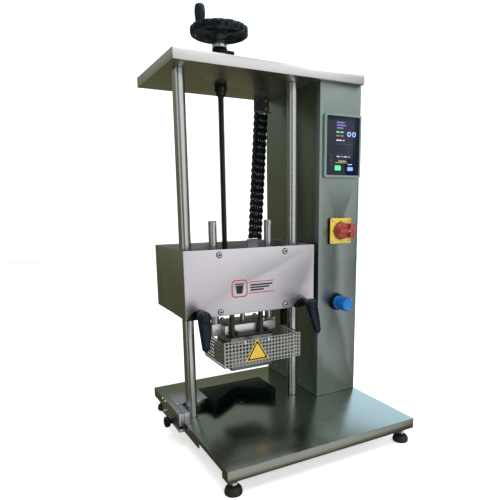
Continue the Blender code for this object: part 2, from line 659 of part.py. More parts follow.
# ---------------------------------------------------------------- spindle and handwheel
def make_spindle():
    spot = (PRESS_X, SPINDLE_Y, 0)
    cap_low = TOP_FACE + GAP
    cap_high = cap_low + CAP_H
    lock_low = cap_high + GAP
    lock_high = lock_low + LOCK_H
    hub_low = lock_high + GAP
    hub_high = hub_low + HUB_H
    wheel_high = hub_high + GAP + WHEEL_H
    bore = SPINDLE_R + RUNNING

    ring = [
        (bore, COLUMN_HEIGHT - BEARING_DROP),
        (BEARING_R * 0.82, COLUMN_HEIGHT - BEARING_DROP),
        (BEARING_R * 0.82, COLUMN_HEIGHT - BEARING_DROP * 0.6),
        (BEARING_R, COLUMN_HEIGHT - BEARING_DROP * 0.6),
        (BEARING_R, COLUMN_HEIGHT - GAP),
        (BEARING_SLEEVE_R, COLUMN_HEIGHT - GAP),
        (BEARING_SLEEVE_R, TOP_FACE),
        (bore, TOP_FACE),
        (bore, COLUMN_HEIGHT - BEARING_DROP),
    ]
    turned("spindle_bearing", ring, spot, material="dark_steel")
    tube("bearing_cap", bore, CAP_R, cap_low, cap_high, spot, material="aluminium")

    axis = assembly("axis_spindle", spot)
    low = HEAD_BOTTOM + SPINDLE_FOOT
    screw = rod("spindle_screw", SPINDLE_R, low, hub_high + WHEEL_H * 0.7, spot,
                material="dark_steel", sides=24)
    hub = tube("wheel_hub", SPINDLE_R + GAP, HUB_R, hub_low, hub_high, spot, material="polished_steel")
    attach(axis, screw, hub)

    wheel_low = hub_high + GAP
    inner = WHEEL_R - WHEEL_RIM
    edge = 3 * MM
    rim_ring = [
        (inner, wheel_low + edge),
        (inner + edge, wheel_low),
        (WHEEL_R - edge, wheel_low),
        (WHEEL_R, wheel_low + edge),
        (WHEEL_R, wheel_high - edge),
        (WHEEL_R - edge, wheel_high),
        (inner + edge, wheel_high),
        (inner, wheel_high - edge),
        (inner, wheel_low + edge),
    ]
    wheel = turned("handwheel", rim_ring, spot, material="black_plastic", sides=FINE)
    middle_ring = rod("wheel_middle", WHEEL_HUB_R, wheel_low, wheel_high - edge, spot, sides=ROUND,
                      cutter=True)
    weld(wheel, middle_ring)
    reach = inner + WHEEL_RIM / 2
    rib_low = wheel_low + edge
    rib_high = wheel_high - 2 * edge
    weld(wheel, rod("wheel_web", reach, rib_high - WHEEL_WEB, rib_high, spot, sides=FINE, cutter=True))
    for number in range(WHEEL_RIBS):
        angle = CRANK_ANGLE + 2 * math.pi * number / WHEEL_RIBS
        bm = bmesh.new()
        rib_h = rib_high - rib_low - WHEEL_WEB / 2
        size = (reach, RIB_W, rib_h)
        shape = Matrix.Rotation(angle, 4, "Z") @ Matrix.Translation((reach / 2, 0, rib_low + rib_h / 2))
        bmesh.ops.create_cube(bm, size=1, matrix=shape @ Matrix.Diagonal((*size, 1)))
        weld(wheel, place(f"rib_{number + 1}", bm, spot, cutter=True))
    crank_x = PRESS_X + CRANK_REACH * math.cos(CRANK_ANGLE)
    crank_y = SPINDLE_Y + CRANK_REACH * math.sin(CRANK_ANGLE)
    crank_spot = (crank_x, crank_y, wheel_high)
    pad_low = -WHEEL_H + 3 * edge
    pad = rod("crank_pad", CRANK_R * 0.8, pad_low, -edge / 3, crank_spot, sides=24, cutter=True)
    pin = rod("crank_pin", CRANK_PIN_R, pad_low + edge, CRANK_H - 8 * MM, crank_spot, sides=16, cutter=True)
    weld(wheel, pad, pin)
    shaft_bore = rod("wheel_bore", SPINDLE_R + GAP, -WHEEL_H, 2 * WHEEL_H, (PRESS_X, SPINDLE_Y, wheel_low),
                     sides=24, cutter=True)
    cut(wheel, shaft_bore)
    attach(axis, wheel)

    profile = [
        (CRANK_R * 0.85, GAP),
        (CRANK_R * 0.95, CRANK_H * 0.3),
        (CRANK_R, CRANK_H * 0.7),
        (CRANK_R, CRANK_H - 4 * MM),
        (CRANK_R * 0.75, CRANK_H),
    ]
    handle = turned("crank_handle", profile, crank_spot, material="black_plastic", sides=24)
    cut(handle, rod("crank_bore", CRANK_PIN_R + RUNNING, -CRANK_H, CRANK_H - 7 * MM, crank_spot,
                    sides=16, cutter=True))
    attach(assembly("axis_crank", crank_spot, axis), handle)

    lock = tube("spindle_lock", bore, LOCK_R, lock_low, lock_high, spot, material="black_plastic",
                sides=24)
    arm = block("lock_arm", (PRESS_X + LOCK_R - 4 * MM, SPINDLE_Y - 5 * MM, lock_low + 2 * MM),
                (PRESS_X + LOCK_ARM, SPINDLE_Y + 5 * MM, lock_high - 2 * MM), cutter=True)
    weld(lock, arm)
    attach(assembly("axis_spindle_lock", spot), lock)


# ---------------------------------------------------------------- head box and carriage
def column_bore(side, low, high, clearance=RUNNING):
    return rod(f"bore_{side}_{round(low / MM)}", COLUMN_R + clearance, low, high,
               (COLUMN_X[side], COLUMN_Y, 0), sides=FINE, cutter=True)


def arch_outline(x):
    """A low arch on the head's bottom edge, with straight legs that run on below it."""
    drop = ARCH_R - ARCH_RISE
    spread = math.asin(drop / ARCH_R)
    points = arc((x, HEAD_BOTTOM - drop), ARCH_R, spread, math.pi - spread, 16)
    below = HEAD_BOTTOM - ARCH_RISE
    return [(points[0][0], below)] + points + [(points[-1][0], below)]


def make_head_box():
    left, right = COVER_X
    sheet = HEAD_SHEET
    front = HEAD_FRONT_Y
    cover = block("head_cover", (left, front, HEAD_BOTTOM), (right, front + sheet, HEAD_TOP), "stainless")
    for side, inboard in (("left", 1), ("right", -1)):
        x = COLUMN_X[side] + inboard * ARCH_INBOARD
        arch = prism("arch_" + side, arch_outline(x), -2 * sheet, 3 * sheet, (0, front, 0), "Y",
                     cutter=True)
        cut(cover, arch)
    shell = block("head_shell", (left, front + sheet + GAP, HEAD_BOTTOM), (right, HEAD_BACK_Y, HEAD_TOP),
                  "stainless")
    inside = block("head_inside", (left + sheet, front + 2 * sheet, HEAD_BOTTOM - sheet),
                   (right - sheet, HEAD_BACK_Y - sheet, HEAD_TOP + sheet), cutter=True)
    opening = block("head_opening", (left + HEAD_RETURN, front, HEAD_BOTTOM - sheet),
                    (right - HEAD_RETURN, front + 3 * sheet, HEAD_TOP + sheet), cutter=True)
    cut(shell, inside, opening)
    for side, inboard in (("left", 1), ("right", -1)):
        x = COLUMN_X[side] + inboard * ARCH_INBOARD
        arch = prism("return_arch_" + side, arch_outline(x), -sheet, 2 * sheet,
                     (0, front + sheet, 0), "Y", cutter=True)
        cut(shell, arch)
    return [cover, shell]


def make_carriage():
    left, right = COVER_X
    sheet = HEAD_SHEET
    back = HEAD_BACK_Y - sheet - PLATE_BACK_GAP
    plate = block("carriage_plate", (left + sheet + GAP, PLATE_FRONT_Y, PLATE_Z),
                  (right - sheet - GAP, back, PLATE_TOP), "aluminium")
    over = PLATE_THICK
    holes = [column_bore(side, PLATE_Z - over, PLATE_TOP + over) for side in COLUMN_X]
    holes.append(rod("nut_hole", NUT_SLEEVE_R + GAP, -over, 2 * over, (PRESS_X, SPINDLE_Y, PLATE_Z),
                     cutter=True))
    holes.append(rod("piston_hole", PISTON_R + RUNNING, -over, 2 * over, (PRESS_X, PRESS_Y, PLATE_Z),
                     sides=24, cutter=True))
    for side, x in rod_spots().items():
        holes.append(rod("bush_hole_" + side, BUSH_R + GAP, -over, 2 * over, (x, PRESS_Y, PLATE_Z),
                         cutter=True))
    cut(plate, *holes)

    pieces = [plate]
    for side, x in rod_spots().items():
        ring = [
            (ROD_R + RUNNING, -BUSH_BELOW),
            (BUSH_R, -BUSH_BELOW),
            (BUSH_R, PLATE_THICK + GAP),
            (BUSH_FLANGE_R, PLATE_THICK + GAP),
            (BUSH_FLANGE_R, PLATE_THICK + BUSH_ABOVE * 0.3),
            (BUSH_R, PLATE_THICK + BUSH_ABOVE * 0.3),
            (BUSH_R, PLATE_THICK + BUSH_ABOVE),
            (ROD_R + RUNNING, PLATE_THICK + BUSH_ABOVE),
            (ROD_R + RUNNING, -BUSH_BELOW),
        ]
        pieces.append(turned("guide_bush_" + side, ring, (x, PRESS_Y, PLATE_Z), material="brass",
                             sides=24))
    ring = [
        (SPINDLE_R + RUNNING, 0),
        (NUT_SLEEVE_R, 0),
        (NUT_SLEEVE_R, PLATE_THICK + GAP),
        (NUT_FLANGE_R, PLATE_THICK + GAP),
        (NUT_FLANGE_R, PLATE_THICK + NUT_FLANGE_H),
        (SPINDLE_R + RUNNING, PLATE_THICK + NUT_FLANGE_H),
        (SPINDLE_R + RUNNING, 0),
    ]
    pieces.append(turned("lead_nut", ring, (PRESS_X, SPINDLE_Y, PLATE_Z), material="brass", sides=24))
    return pieces


def rod_spots():
    return {"left": PRESS_X - ROD_SPREAD / 2, "right": PRESS_X + ROD_SPREAD / 2}


def make_cylinder():
    """The press cylinder, which stands on the carriage plate and holds the piston."""
    low = PLATE_TOP + GAP
    half = CYLINDER_HALF
    cylinder = block("press_cylinder", (PRESS_X - half, PRESS_Y - half, low),
                     (PRESS_X + half, PRESS_Y + half, low + CYLINDER_H), "aluminium")
    bore = rod("cylinder_bore", PISTON_R + RUNNING, -CYLINDER_H, CYLINDER_H - PISTON_CROWN,
               (PRESS_X, PRESS_Y, low), sides=24, cutter=True)
    return cut(cylinder, bore)


def lever_spot(side):
    inboard = {"left": 1, "right": -1}[side]
    return COLUMN_X[side] + inboard * LEVER_INBOARD, HEAD_BOTTOM + LEVER_RISE


def make_clamps(head):
    """A block round each column, and the hand lever whose screw presses on the column."""
    front = HEAD_FRONT_Y + HEAD_SHEET + CLAMP_FRONT_GAP
    back = COLUMN_Y + CLAMP_BEHIND
    low, high = HEAD_BOTTOM - CLAMP_BELOW, PLATE_Z - GAP
    for side, x in COLUMN_X.items():
        clamp = block("column_clamp_" + side, (x - CLAMP_HALF, front, low), (x + CLAMP_HALF, back, high),
                      "dark_steel")
        lever_x, lever_z = lever_spot(side)
        screw_r = LEVER_NECK_R - 2 * MM
        tapped = rod("clamp_thread_" + side, screw_r + RUNNING, -2 * CLAMP_FRONT_GAP, COLUMN_Y - front,
                     (lever_x, front, lever_z), "Y", sides=24, cutter=True)
        cut(clamp, column_bore(side, low - PLATE_THICK, high + PLATE_THICK), tapped)
        attach(head, clamp)

        spot = (lever_x, HEAD_FRONT_Y, lever_z)
        rear = -LEVER_STANDOFF
        nose = rear - LEVER_HUB_LENGTH
        screw_end = COLUMN_Y - COLUMN_R - 2 * RUNNING - HEAD_FRONT_Y
        profile = [
            (LEVER_HEAD_R * 0.7, nose),
            (LEVER_HEAD_R, nose + 4 * MM),
            (LEVER_HEAD_R, nose + LEVER_ARM_THICK + 2 * MM),
            (LEVER_NECK_R + 2 * MM, rear),
            (LEVER_NECK_R, rear),
            (LEVER_NECK_R, front - GAP - HEAD_FRONT_Y),
            (screw_r, front - GAP - HEAD_FRONT_Y),
            (screw_r, screw_end),
        ]
        lever = turned("clamp_lever_" + side, profile, spot, "Y", "black_plastic", sides=24)
        lean = LEVER_LEANS[side]
        tip = (LEVER_REACH * math.sin(lean), -LEVER_REACH * math.cos(lean))
        outline = arc(tip, LEVER_TIP_R, math.pi + lean, 2 * math.pi + lean, 8)
        outline += arc((0, 0), LEVER_HEAD_R * 0.98, lean, math.pi + lean, 12)
        arm = prism("lever_arm_" + side, outline, nose + 1 * MM, nose + LEVER_ARM_THICK, spot, "Y",
                    cutter=True)
        weld(lever, arm)
        attach(assembly("axis_clamp_lever_" + side, spot, head), lever)


def chain_foot():
    return CHAIN_FOOT_X, HEAD_BACK_Y - CHAIN_FOOT_BACK, HEAD_TOP + CHAIN_FOOT_RISE


def make_chain_bracket():
    """The chain's lower bracket, on the inside of the head's back panel."""
    x, y, z = chain_foot()
    half = CHAIN_WIDTH / 2
    wall = HEAD_BACK_Y - HEAD_SHEET - GAP
    bracket = block("chain_foot_bracket", (x - half, wall - CHAIN_SHEET, z - CHAIN_LUG_DEEP),
                    (x + half, wall, z - GAP), "galvanised")
    shelf = block("chain_shelf", (x - half, y - CHAIN_THICK / 2, z - GAP - CHAIN_SHEET / 2),
                  (x + half, wall - CHAIN_SHEET / 2, z - GAP), cutter=True)
    return weld(bracket, shelf)


def make_head():
    head = assembly("axis_head", (PRESS_X, COLUMN_Y, PLATE_Z))
    attach(head, *make_head_box(), *make_carriage(), make_cylinder(), make_chain_bracket())
    make_clamps(head)
    return head


# ---------------------------------------------------------------- energy chain
def make_chain():
    foot = Vector(chain_foot())
    top = Vector((CHAIN_TOP_X, CHAIN_TOP_Y, COLUMN_HEIGHT - CHAIN_TOP_DROP))
    half_x, half_y = CHAIN_WIDTH / 2, CHAIN_THICK / 2
    bm = bmesh.new()
    rings = []
    for end in (foot, top):
        corners = ((-half_x, -half_y), (half_x, -half_y), (half_x, half_y), (-half_x, half_y))
        rings.append([bm.verts.new(end - top + Vector((u, v, 0))) for u, v in corners])
    bm.faces.new(rings[0])
    bm.faces.new(rings[1])
    for step in range(4):
        after = (step + 1) % 4
        bm.faces.new((rings[0][step], rings[0][after], rings[1][after], rings[1][step]))
    place("energy_chain", bm, top, "black_plastic")

    high = COLUMN_HEIGHT - GAP
    right = top.x - half_x + CHAIN_LUG_WIDTH
    bracket = block("chain_top_bracket", (top.x - half_x, top.y + half_y - CHAIN_SHEET, top.z + GAP),
                    (right, top.y + half_y, high), "galvanised")
    shelf = block("chain_top_shelf", (top.x - half_x, top.y - half_y, top.z + GAP),
                  (right, top.y + half_y - CHAIN_SHEET / 2, top.z + GAP + CHAIN_SHEET / 2), cutter=True)
    weld(bracket, shelf)


# ---------------------------------------------------------------- press: everything that the piston moves
def make_press(head):
    press = assembly("axis_press", (PRESS_X, PRESS_Y, HEAD_BOTTOM), head)
    bar_low = HEAD_BOTTOM - TOOL_DROP + GAP
    bar_high = bar_low + BAR_H
    piston_top = PLATE_TOP + CYLINDER_H - PISTON_CROWN - 2 * GAP
    piston = rod("piston_rod", PISTON_R, bar_high + GAP, piston_top, (PRESS_X, PRESS_Y, 0),
                 material="polished_steel", sides=24)
    attach(press, piston)

    block_low = HEAD_BOTTOM - BAR_BLOCK_DROP
    bar = block("mounting_bar", (PRESS_X - BAR_HALF, BAR_FRONT_Y, bar_low),
                (PRESS_X + BAR_HALF, BAR_BACK_Y, bar_high), "aluminium")
    half = BAR_BLOCK / 2
    for side, x in rod_spots().items():
        weld(bar, block("rod_block_" + side, (x - half, PRESS_Y - half, block_low),
                        (x + half, PRESS_Y + half, block_low + BAR_BLOCK_H), cutter=True))
    for side, x in rod_spots().items():
        cut(bar, rod("rod_bore_" + side, ROD_R + GAP, -BAR_BLOCK_H, 2 * BAR_BLOCK_H,
                     (x, PRESS_Y, block_low), sides=24, cutter=True))
        guide = rod("guide_rod_" + side, ROD_R, block_low, HEAD_BOTTOM + ROD_TOP, (x, PRESS_Y, 0),
                    material="polished_steel", sides=24)
        attach(press, guide)
    attach(press, bar, *make_tool(), make_guard())

    cable_x = PRESS_X + CABLE_X
    cable_low = HEAD_BOTTOM - BAR_BLOCK_DROP + BAR_BLOCK_H / 2
    cable = rod("heater_cable", CABLE_R, cable_low, cable_low + CABLE_H, (cable_x, CABLE_Y, 0),
                material="black_rubber", sides=16)
    attach(press, cable)


def make_tool():
    """The hot tool, from its steel plate down to the sealing die."""
    half = TOOL_WIDTH / 2
    front, back = TOOL_FRONT_Y, TOOL_FRONT_Y + TOOL_DEPTH
    top = HEAD_BOTTOM - TOOL_DROP
    pieces = []
    layers = (
        ("tool_plate", TOOL_PLATE_H, 0, "aluminium"),
        ("insulation_block", INSULATION_H, INSULATION_INSET, "black_plastic"),
        ("heater_block", HEATER_H, 0, "aluminium"),
        ("sealing_die", DIE_H, 0, "aluminium"),
    )
    for name, height, narrower, finish in layers:
        pieces.append(block(name, (PRESS_X - half + narrower, front + narrower, top - height),
                            (PRESS_X + half - narrower, back - narrower, top), finish))
        top -= height + GAP
    plate = pieces[0]
    plate_top = HEAD_BOTTOM - TOOL_DROP
    ledge = block("tool_ledge", (PRESS_X - half, STOP_FRONT_Y, plate_top - LEDGE_H),
                  (PRESS_X + half, front + LEDGE_H, plate_top), cutter=True)
    weld(plate, ledge)
    for number, shift in enumerate(STOP_X):
        low = (PRESS_X + shift - STOP_HALF, STOP_FRONT_Y, plate_top - LEDGE_H / 2)
        high = (PRESS_X + shift + STOP_HALF, STOP_FRONT_Y + 2 * STOP_HALF, plate_top + STOP_H)
        weld(plate, block(f"stroke_rod_{number + 1}", low, high, cutter=True))
    return pieces


def make_guard():
    """A bent sheet round the hot tool, on two pins that stand on the tool plate."""
    left, right = PRESS_X - GUARD_LEFT, PRESS_X + GUARD_RIGHT
    high = HEAD_BOTTOM - GUARD_TOP_DROP
    low = high - GUARD_H
    sheet = GUARD_SHEET
    guard = block("guard", (left, GUARD_FRONT_Y, low), (right, GUARD_BACK_Y, high), "stainless")
    cut(guard, block("guard_inside", (left + sheet, GUARD_FRONT_Y + sheet, low - sheet),
                     (right - sheet, GUARD_BACK_Y + sheet, high + sheet), cutter=True))
    for number, shift in enumerate((-GUARD_PIN_SPREAD / 2, GUARD_PIN_SPREAD / 2)):
        pin = rod(f"guard_pin_{number + 1}", GUARD_PIN_R, sheet / 2, STOP_FRONT_Y - GAP - GUARD_FRONT_Y,
                  (PRESS_X + shift, GUARD_FRONT_Y, high - GUARD_PIN_DROP), "Y", sides=16, cutter=True)
        weld(guard, pin)
    return guard


# ---------------------------------------------------------------- cup stop
def make_cup_stop():
    spot = (SLIDE_X[0], STAR_Y, SLOT_Z)
    carrier = assembly("axis_cup_stop", spot)
    outline = [
        (-VEE_WIDTH / 2, 0),
        (-VEE_MOUTH / 2, 0),
        (-VEE_ROOT_FLAT / 2, VEE_NOTCH),
        (VEE_ROOT_FLAT / 2, VEE_NOTCH),
        (VEE_MOUTH / 2, 0),
        (VEE_WIDTH / 2, 0),
        (VEE_WIDTH / 2, VEE_DEPTH),
        (-VEE_WIDTH / 2, VEE_DEPTH),
    ]
    vee = prism("vee_block", outline, GAP, VEE_H, (PRESS_X, VEE_FRONT_Y, 0), material="black_plastic")
    bar = block("slide_bar", (SLIDE_X[0], SLIDE_FRONT_Y, -SLIDE_LOW), (SLIDE_X[1], VEE_BACK_Y, SLIDE_HIGH),
                "galvanised")
    slot = block("slide_slot", (SLIDE_X[0] - SLIDE_THICK, SLIDE_FRONT_Y - SLIDE_THICK, SLOT_Z - SLOT_R),
                 (SLIDE_X[1] + SLIDE_THICK, SLOT_BACK_Y - SLOT_R, SLOT_Z + SLOT_R), cutter=True)
    slot_end = rod("slot_end", SLOT_R, -SLIDE_THICK, 2 * SLIDE_THICK,
                   (SLIDE_X[0], SLOT_BACK_Y - SLOT_R, SLOT_Z), "X", sides=16, cutter=True)
    cut(bar, slot, slot_end)
    link = block("vee_link", (SLIDE_X[1] + GAP, VEE_BACK_Y - LINK_DEPTH, VEE_H - LINK_THICK),
                 (PRESS_X - VEE_WIDTH / 2 - GAP, VEE_BACK_Y, VEE_H), "galvanised")
    attach(carrier, vee, bar, link)
    block("guide_block", (SLIDE_X[1] + GAP, SLIDE_FRONT_Y, GAP),
          (SLIDE_X[1] + GUIDE_WIDTH, GUIDE_BACK_Y, VEE_H), "galvanised")

    neck = -GAP - STAR_NECK
    profile = [
        (STAR_R * 0.75, neck - STAR_H),
        (STAR_R, neck - STAR_H + 2 * MM),
        (STAR_R, neck),
        (STAR_NECK_R, neck),
        (STAR_NECK_R, -GAP),
        (STUD_R, -GAP),
        (STUD_R, -SLIDE_X[0] + STUD_END),
    ]
    star = turned("star_knob", profile, spot, "X", "black_plastic", sides=4 * STAR_LOBES)
    for number in range(STAR_LOBES):
        angle = 2 * math.pi * number / STAR_LOBES
        hollow = (spot[0], spot[1] + STAR_R * 1.2 * math.cos(angle), spot[2] + STAR_R * 1.2 * math.sin(angle))
        cut(star, rod(f"star_hollow_{number + 1}", STAR_R * 0.35, neck - 2 * STAR_H, neck - STAR_H * 0.1,
                      hollow, "X", sides=16, cutter=True))
    attach(assembly("axis_star_knob", spot), star)


def main():
    make_table()
    make_feet()
    make_columns()
    make_top_plate()
    make_tower()
    make_tower_contents()
    make_screen()
    make_switch()
    make_regulator()
    make_spindle()
    head = make_head()
    make_press(head)
    make_chain()
    make_cup_stop()
    bpy.context.view_layer.update()


clear_scene()
MATERIALS = make_materials()
main()
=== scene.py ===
"""Looks of a bench cup sealing machine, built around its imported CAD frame.

The file is laid out as a Blender add-on: sizes and colours are properties, each piece or
group of like pieces has an operator, and main() runs them in order. Lengths are metres;
MM and mm() turn millimetres to metres.
"""

import json
import math

import bmesh
import bpy
from mathutils import Matrix, Vector

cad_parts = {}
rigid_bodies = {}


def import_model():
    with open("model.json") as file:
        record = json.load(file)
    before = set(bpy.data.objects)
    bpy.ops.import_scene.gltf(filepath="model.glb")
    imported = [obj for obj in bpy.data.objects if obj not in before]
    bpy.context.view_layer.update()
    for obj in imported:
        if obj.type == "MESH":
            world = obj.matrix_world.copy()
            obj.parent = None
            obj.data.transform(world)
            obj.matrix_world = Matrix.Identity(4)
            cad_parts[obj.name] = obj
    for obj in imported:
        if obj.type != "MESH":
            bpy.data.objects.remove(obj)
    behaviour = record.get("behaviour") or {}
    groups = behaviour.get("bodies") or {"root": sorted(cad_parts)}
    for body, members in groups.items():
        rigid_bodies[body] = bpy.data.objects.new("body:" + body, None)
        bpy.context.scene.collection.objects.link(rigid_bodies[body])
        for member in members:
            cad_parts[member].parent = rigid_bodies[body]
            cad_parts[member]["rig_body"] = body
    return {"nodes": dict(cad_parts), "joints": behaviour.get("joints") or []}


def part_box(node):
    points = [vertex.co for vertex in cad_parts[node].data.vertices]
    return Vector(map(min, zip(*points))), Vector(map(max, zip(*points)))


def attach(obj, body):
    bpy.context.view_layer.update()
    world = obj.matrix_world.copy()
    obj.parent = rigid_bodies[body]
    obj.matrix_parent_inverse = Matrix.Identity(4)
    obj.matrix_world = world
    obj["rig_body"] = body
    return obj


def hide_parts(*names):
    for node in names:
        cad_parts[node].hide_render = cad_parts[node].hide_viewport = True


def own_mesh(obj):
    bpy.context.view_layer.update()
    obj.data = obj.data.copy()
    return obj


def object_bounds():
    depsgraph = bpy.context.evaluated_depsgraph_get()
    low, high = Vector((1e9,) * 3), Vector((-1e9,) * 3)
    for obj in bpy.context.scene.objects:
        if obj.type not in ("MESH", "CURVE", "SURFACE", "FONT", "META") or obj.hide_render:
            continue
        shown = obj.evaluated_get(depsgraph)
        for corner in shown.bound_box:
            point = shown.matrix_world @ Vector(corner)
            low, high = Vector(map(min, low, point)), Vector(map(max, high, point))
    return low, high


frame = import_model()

bl_info = {
    "name": "Cup Sealing Machine",
    "version": (1, 0, 0),
    "blender": (4, 5, 0),
    "location": "View3D > Sidebar > Cup Sealer",
    "description": "Builds the finished look of a bench cup sealing machine",
    "category": "Object",
}

MM = 0.001
CAD_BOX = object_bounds()
IDENTITY = Matrix.Identity(4)
QUARTER = math.pi / 2
UP, BACK, FRONT, LEFT, RIGHT = (0, 0, 1), (0, 1, 0), (0, -1, 0), (-1, 0, 0), (1, 0, 0)


def linear(code):
    """An sRGB hex colour as linear light, with full alpha."""
    channels = [int(code[i:i + 2], 16) / 255 for i in (1, 3, 5)]
    light = [c / 12.92 if c <= 0.04045 else ((c + 0.055) / 1.055) ** 2.4 for c in channels]
    return (*light, 1.0)


# ---------------------------------------------------------------- properties
class SealerSizes(bpy.types.PropertyGroup):
    """Sizes that only the looks use"""

    edge: bpy.props.FloatProperty(
        name="Edge rounding", description="Broken edge on machined pieces",
        default=0.5 * MM, unit="LENGTH")
    bend: bpy.props.FloatProperty(
        name="Bend radius", description="Outer radius of folded sheet",
        default=2.2 * MM, unit="LENGTH")
    hole: bpy.props.FloatProperty(
        name="Guard hole", description="Diameter of the guard's holes",
        default=5.9 * MM, unit="LENGTH")
    pitch: bpy.props.FloatProperty(
        name="Guard pitch", description="Spacing of the guard's holes",
        default=8.1 * MM, unit="LENGTH")
    links: bpy.props.IntProperty(
        name="Chain links", description="Links in the energy chain", default=19)
    thread: bpy.props.FloatProperty(
        name="Thread pitch", description="Pitch of the lead screw",
        default=4 * MM, unit="LENGTH")


class SealerColours(bpy.types.PropertyGroup):
    """Plastic colours, in linear light"""

    knob: bpy.props.FloatVectorProperty(
        name="Regulator knob", description="Pressure knob",
        subtype="COLOR", default=linear("#0a6cbc")[:3])
    plate: bpy.props.FloatVectorProperty(
        name="Switch plate", description="Main switch plate",
        subtype="COLOR", default=linear("#d4ba45")[:3])
    handle: bpy.props.FloatVectorProperty(
        name="Switch handle", description="Main switch handle",
        subtype="COLOR", default=linear("#953427")[:3])


def sizes():
    return bpy.context.scene.sealer_sizes


# ---------------------------------------------------------------- materials
def add(tree, kind, inputs=None, **settings):
    """Adds a node, sets its properties, and fills or links its inputs."""
    made = tree.nodes.new(kind)
    for key, value in settings.items():
        setattr(made, key, value)
    for key, value in (inputs or {}).items():
        if isinstance(value, bpy.types.NodeSocket):
            tree.links.new(value, made.inputs[key])
        else:
            made.inputs[key].default_value = value
    return made


def blank(name, **values):
    """A material with a Principled shader, whose plain values are set on its own sockets."""
    material = bpy.data.materials.new(name)
    material.use_nodes = True
    shader = material.node_tree.nodes["Principled BSDF"]
    for key, value in values.items():
        shader.inputs[key.replace("_", " ")].default_value = value
    return material, material.node_tree, shader


def surface(name, metallic, colour, spread, rough, grain, relief, specular=0.5):
    """Colour and roughness that vary a little, and a fine relief, from a stretched noise.

    spread is the share by which the colour varies, and rough the lowest and highest
    roughness. grain is the noise's size along X, Y and Z and relief its height, both in
    millimetres.
    """
    material, tree, shader = blank(name, Metallic=metallic, Specular_IOR_Level=specular)
    low, high = 0.35, 0.65      # where the mean of two noises mostly lies
    place = add(tree, "ShaderNodeTexCoord").outputs["Object"]
    fine = add(tree, "ShaderNodeMapping", {"Vector": place, "Scale": [1 / (g * MM) for g in grain]})
    noise = add(tree, "ShaderNodeTexNoise",
                {"Vector": fine.outputs[0], "Scale": 1.0, "Detail": 3.0})
    cloud = add(tree, "ShaderNodeTexNoise", {"Vector": place, "Scale": 9.0, "Detail": 2.0})
    mixed = add(tree, "ShaderNodeMath", {0: noise.outputs[0], 1: cloud.outputs[0]}, operation="ADD")
    share = add(tree, "ShaderNodeMath", {0: mixed.outputs[0], 1: 0.5}, operation="MULTIPLY")
    ramp = add(tree, "ShaderNodeValToRGB", {"Fac": share.outputs[0]})
    stops = zip(ramp.color_ramp.elements, (low, high), (1 - spread, 1 + spread))
    for stop, position, factor in stops:
        stop.position = position
        stop.color = [min(1, c * factor) for c in colour[:3]] + [1]
    tree.links.new(ramp.outputs[0], shader.inputs["Base Color"])
    gloss = add(tree, "ShaderNodeMapRange", {
        "Value": share.outputs[0], "From Min": low, "From Max": high,
        "To Min": rough[0], "To Max": rough[1]})
    tree.links.new(gloss.outputs[0], shader.inputs["Roughness"])
    bump = add(tree, "ShaderNodeBump",
               {"Height": noise.outputs[0], "Distance": relief * MM, "Strength": 1.0})
    tree.links.new(bump.outputs[0], shader.inputs["Normal"])
    return material


METAL, PLASTIC = 1.0, 0.0
# Brush lines are drawn 0.7 mm wide, where the real grit leaves 0.1 mm, so that they show.
LONG, LINE = 70, 0.7        # length and width of a brush line, in millimetres
LEVEL, UPRIGHT = (LONG, LINE, LINE), (LINE, LINE, LONG)

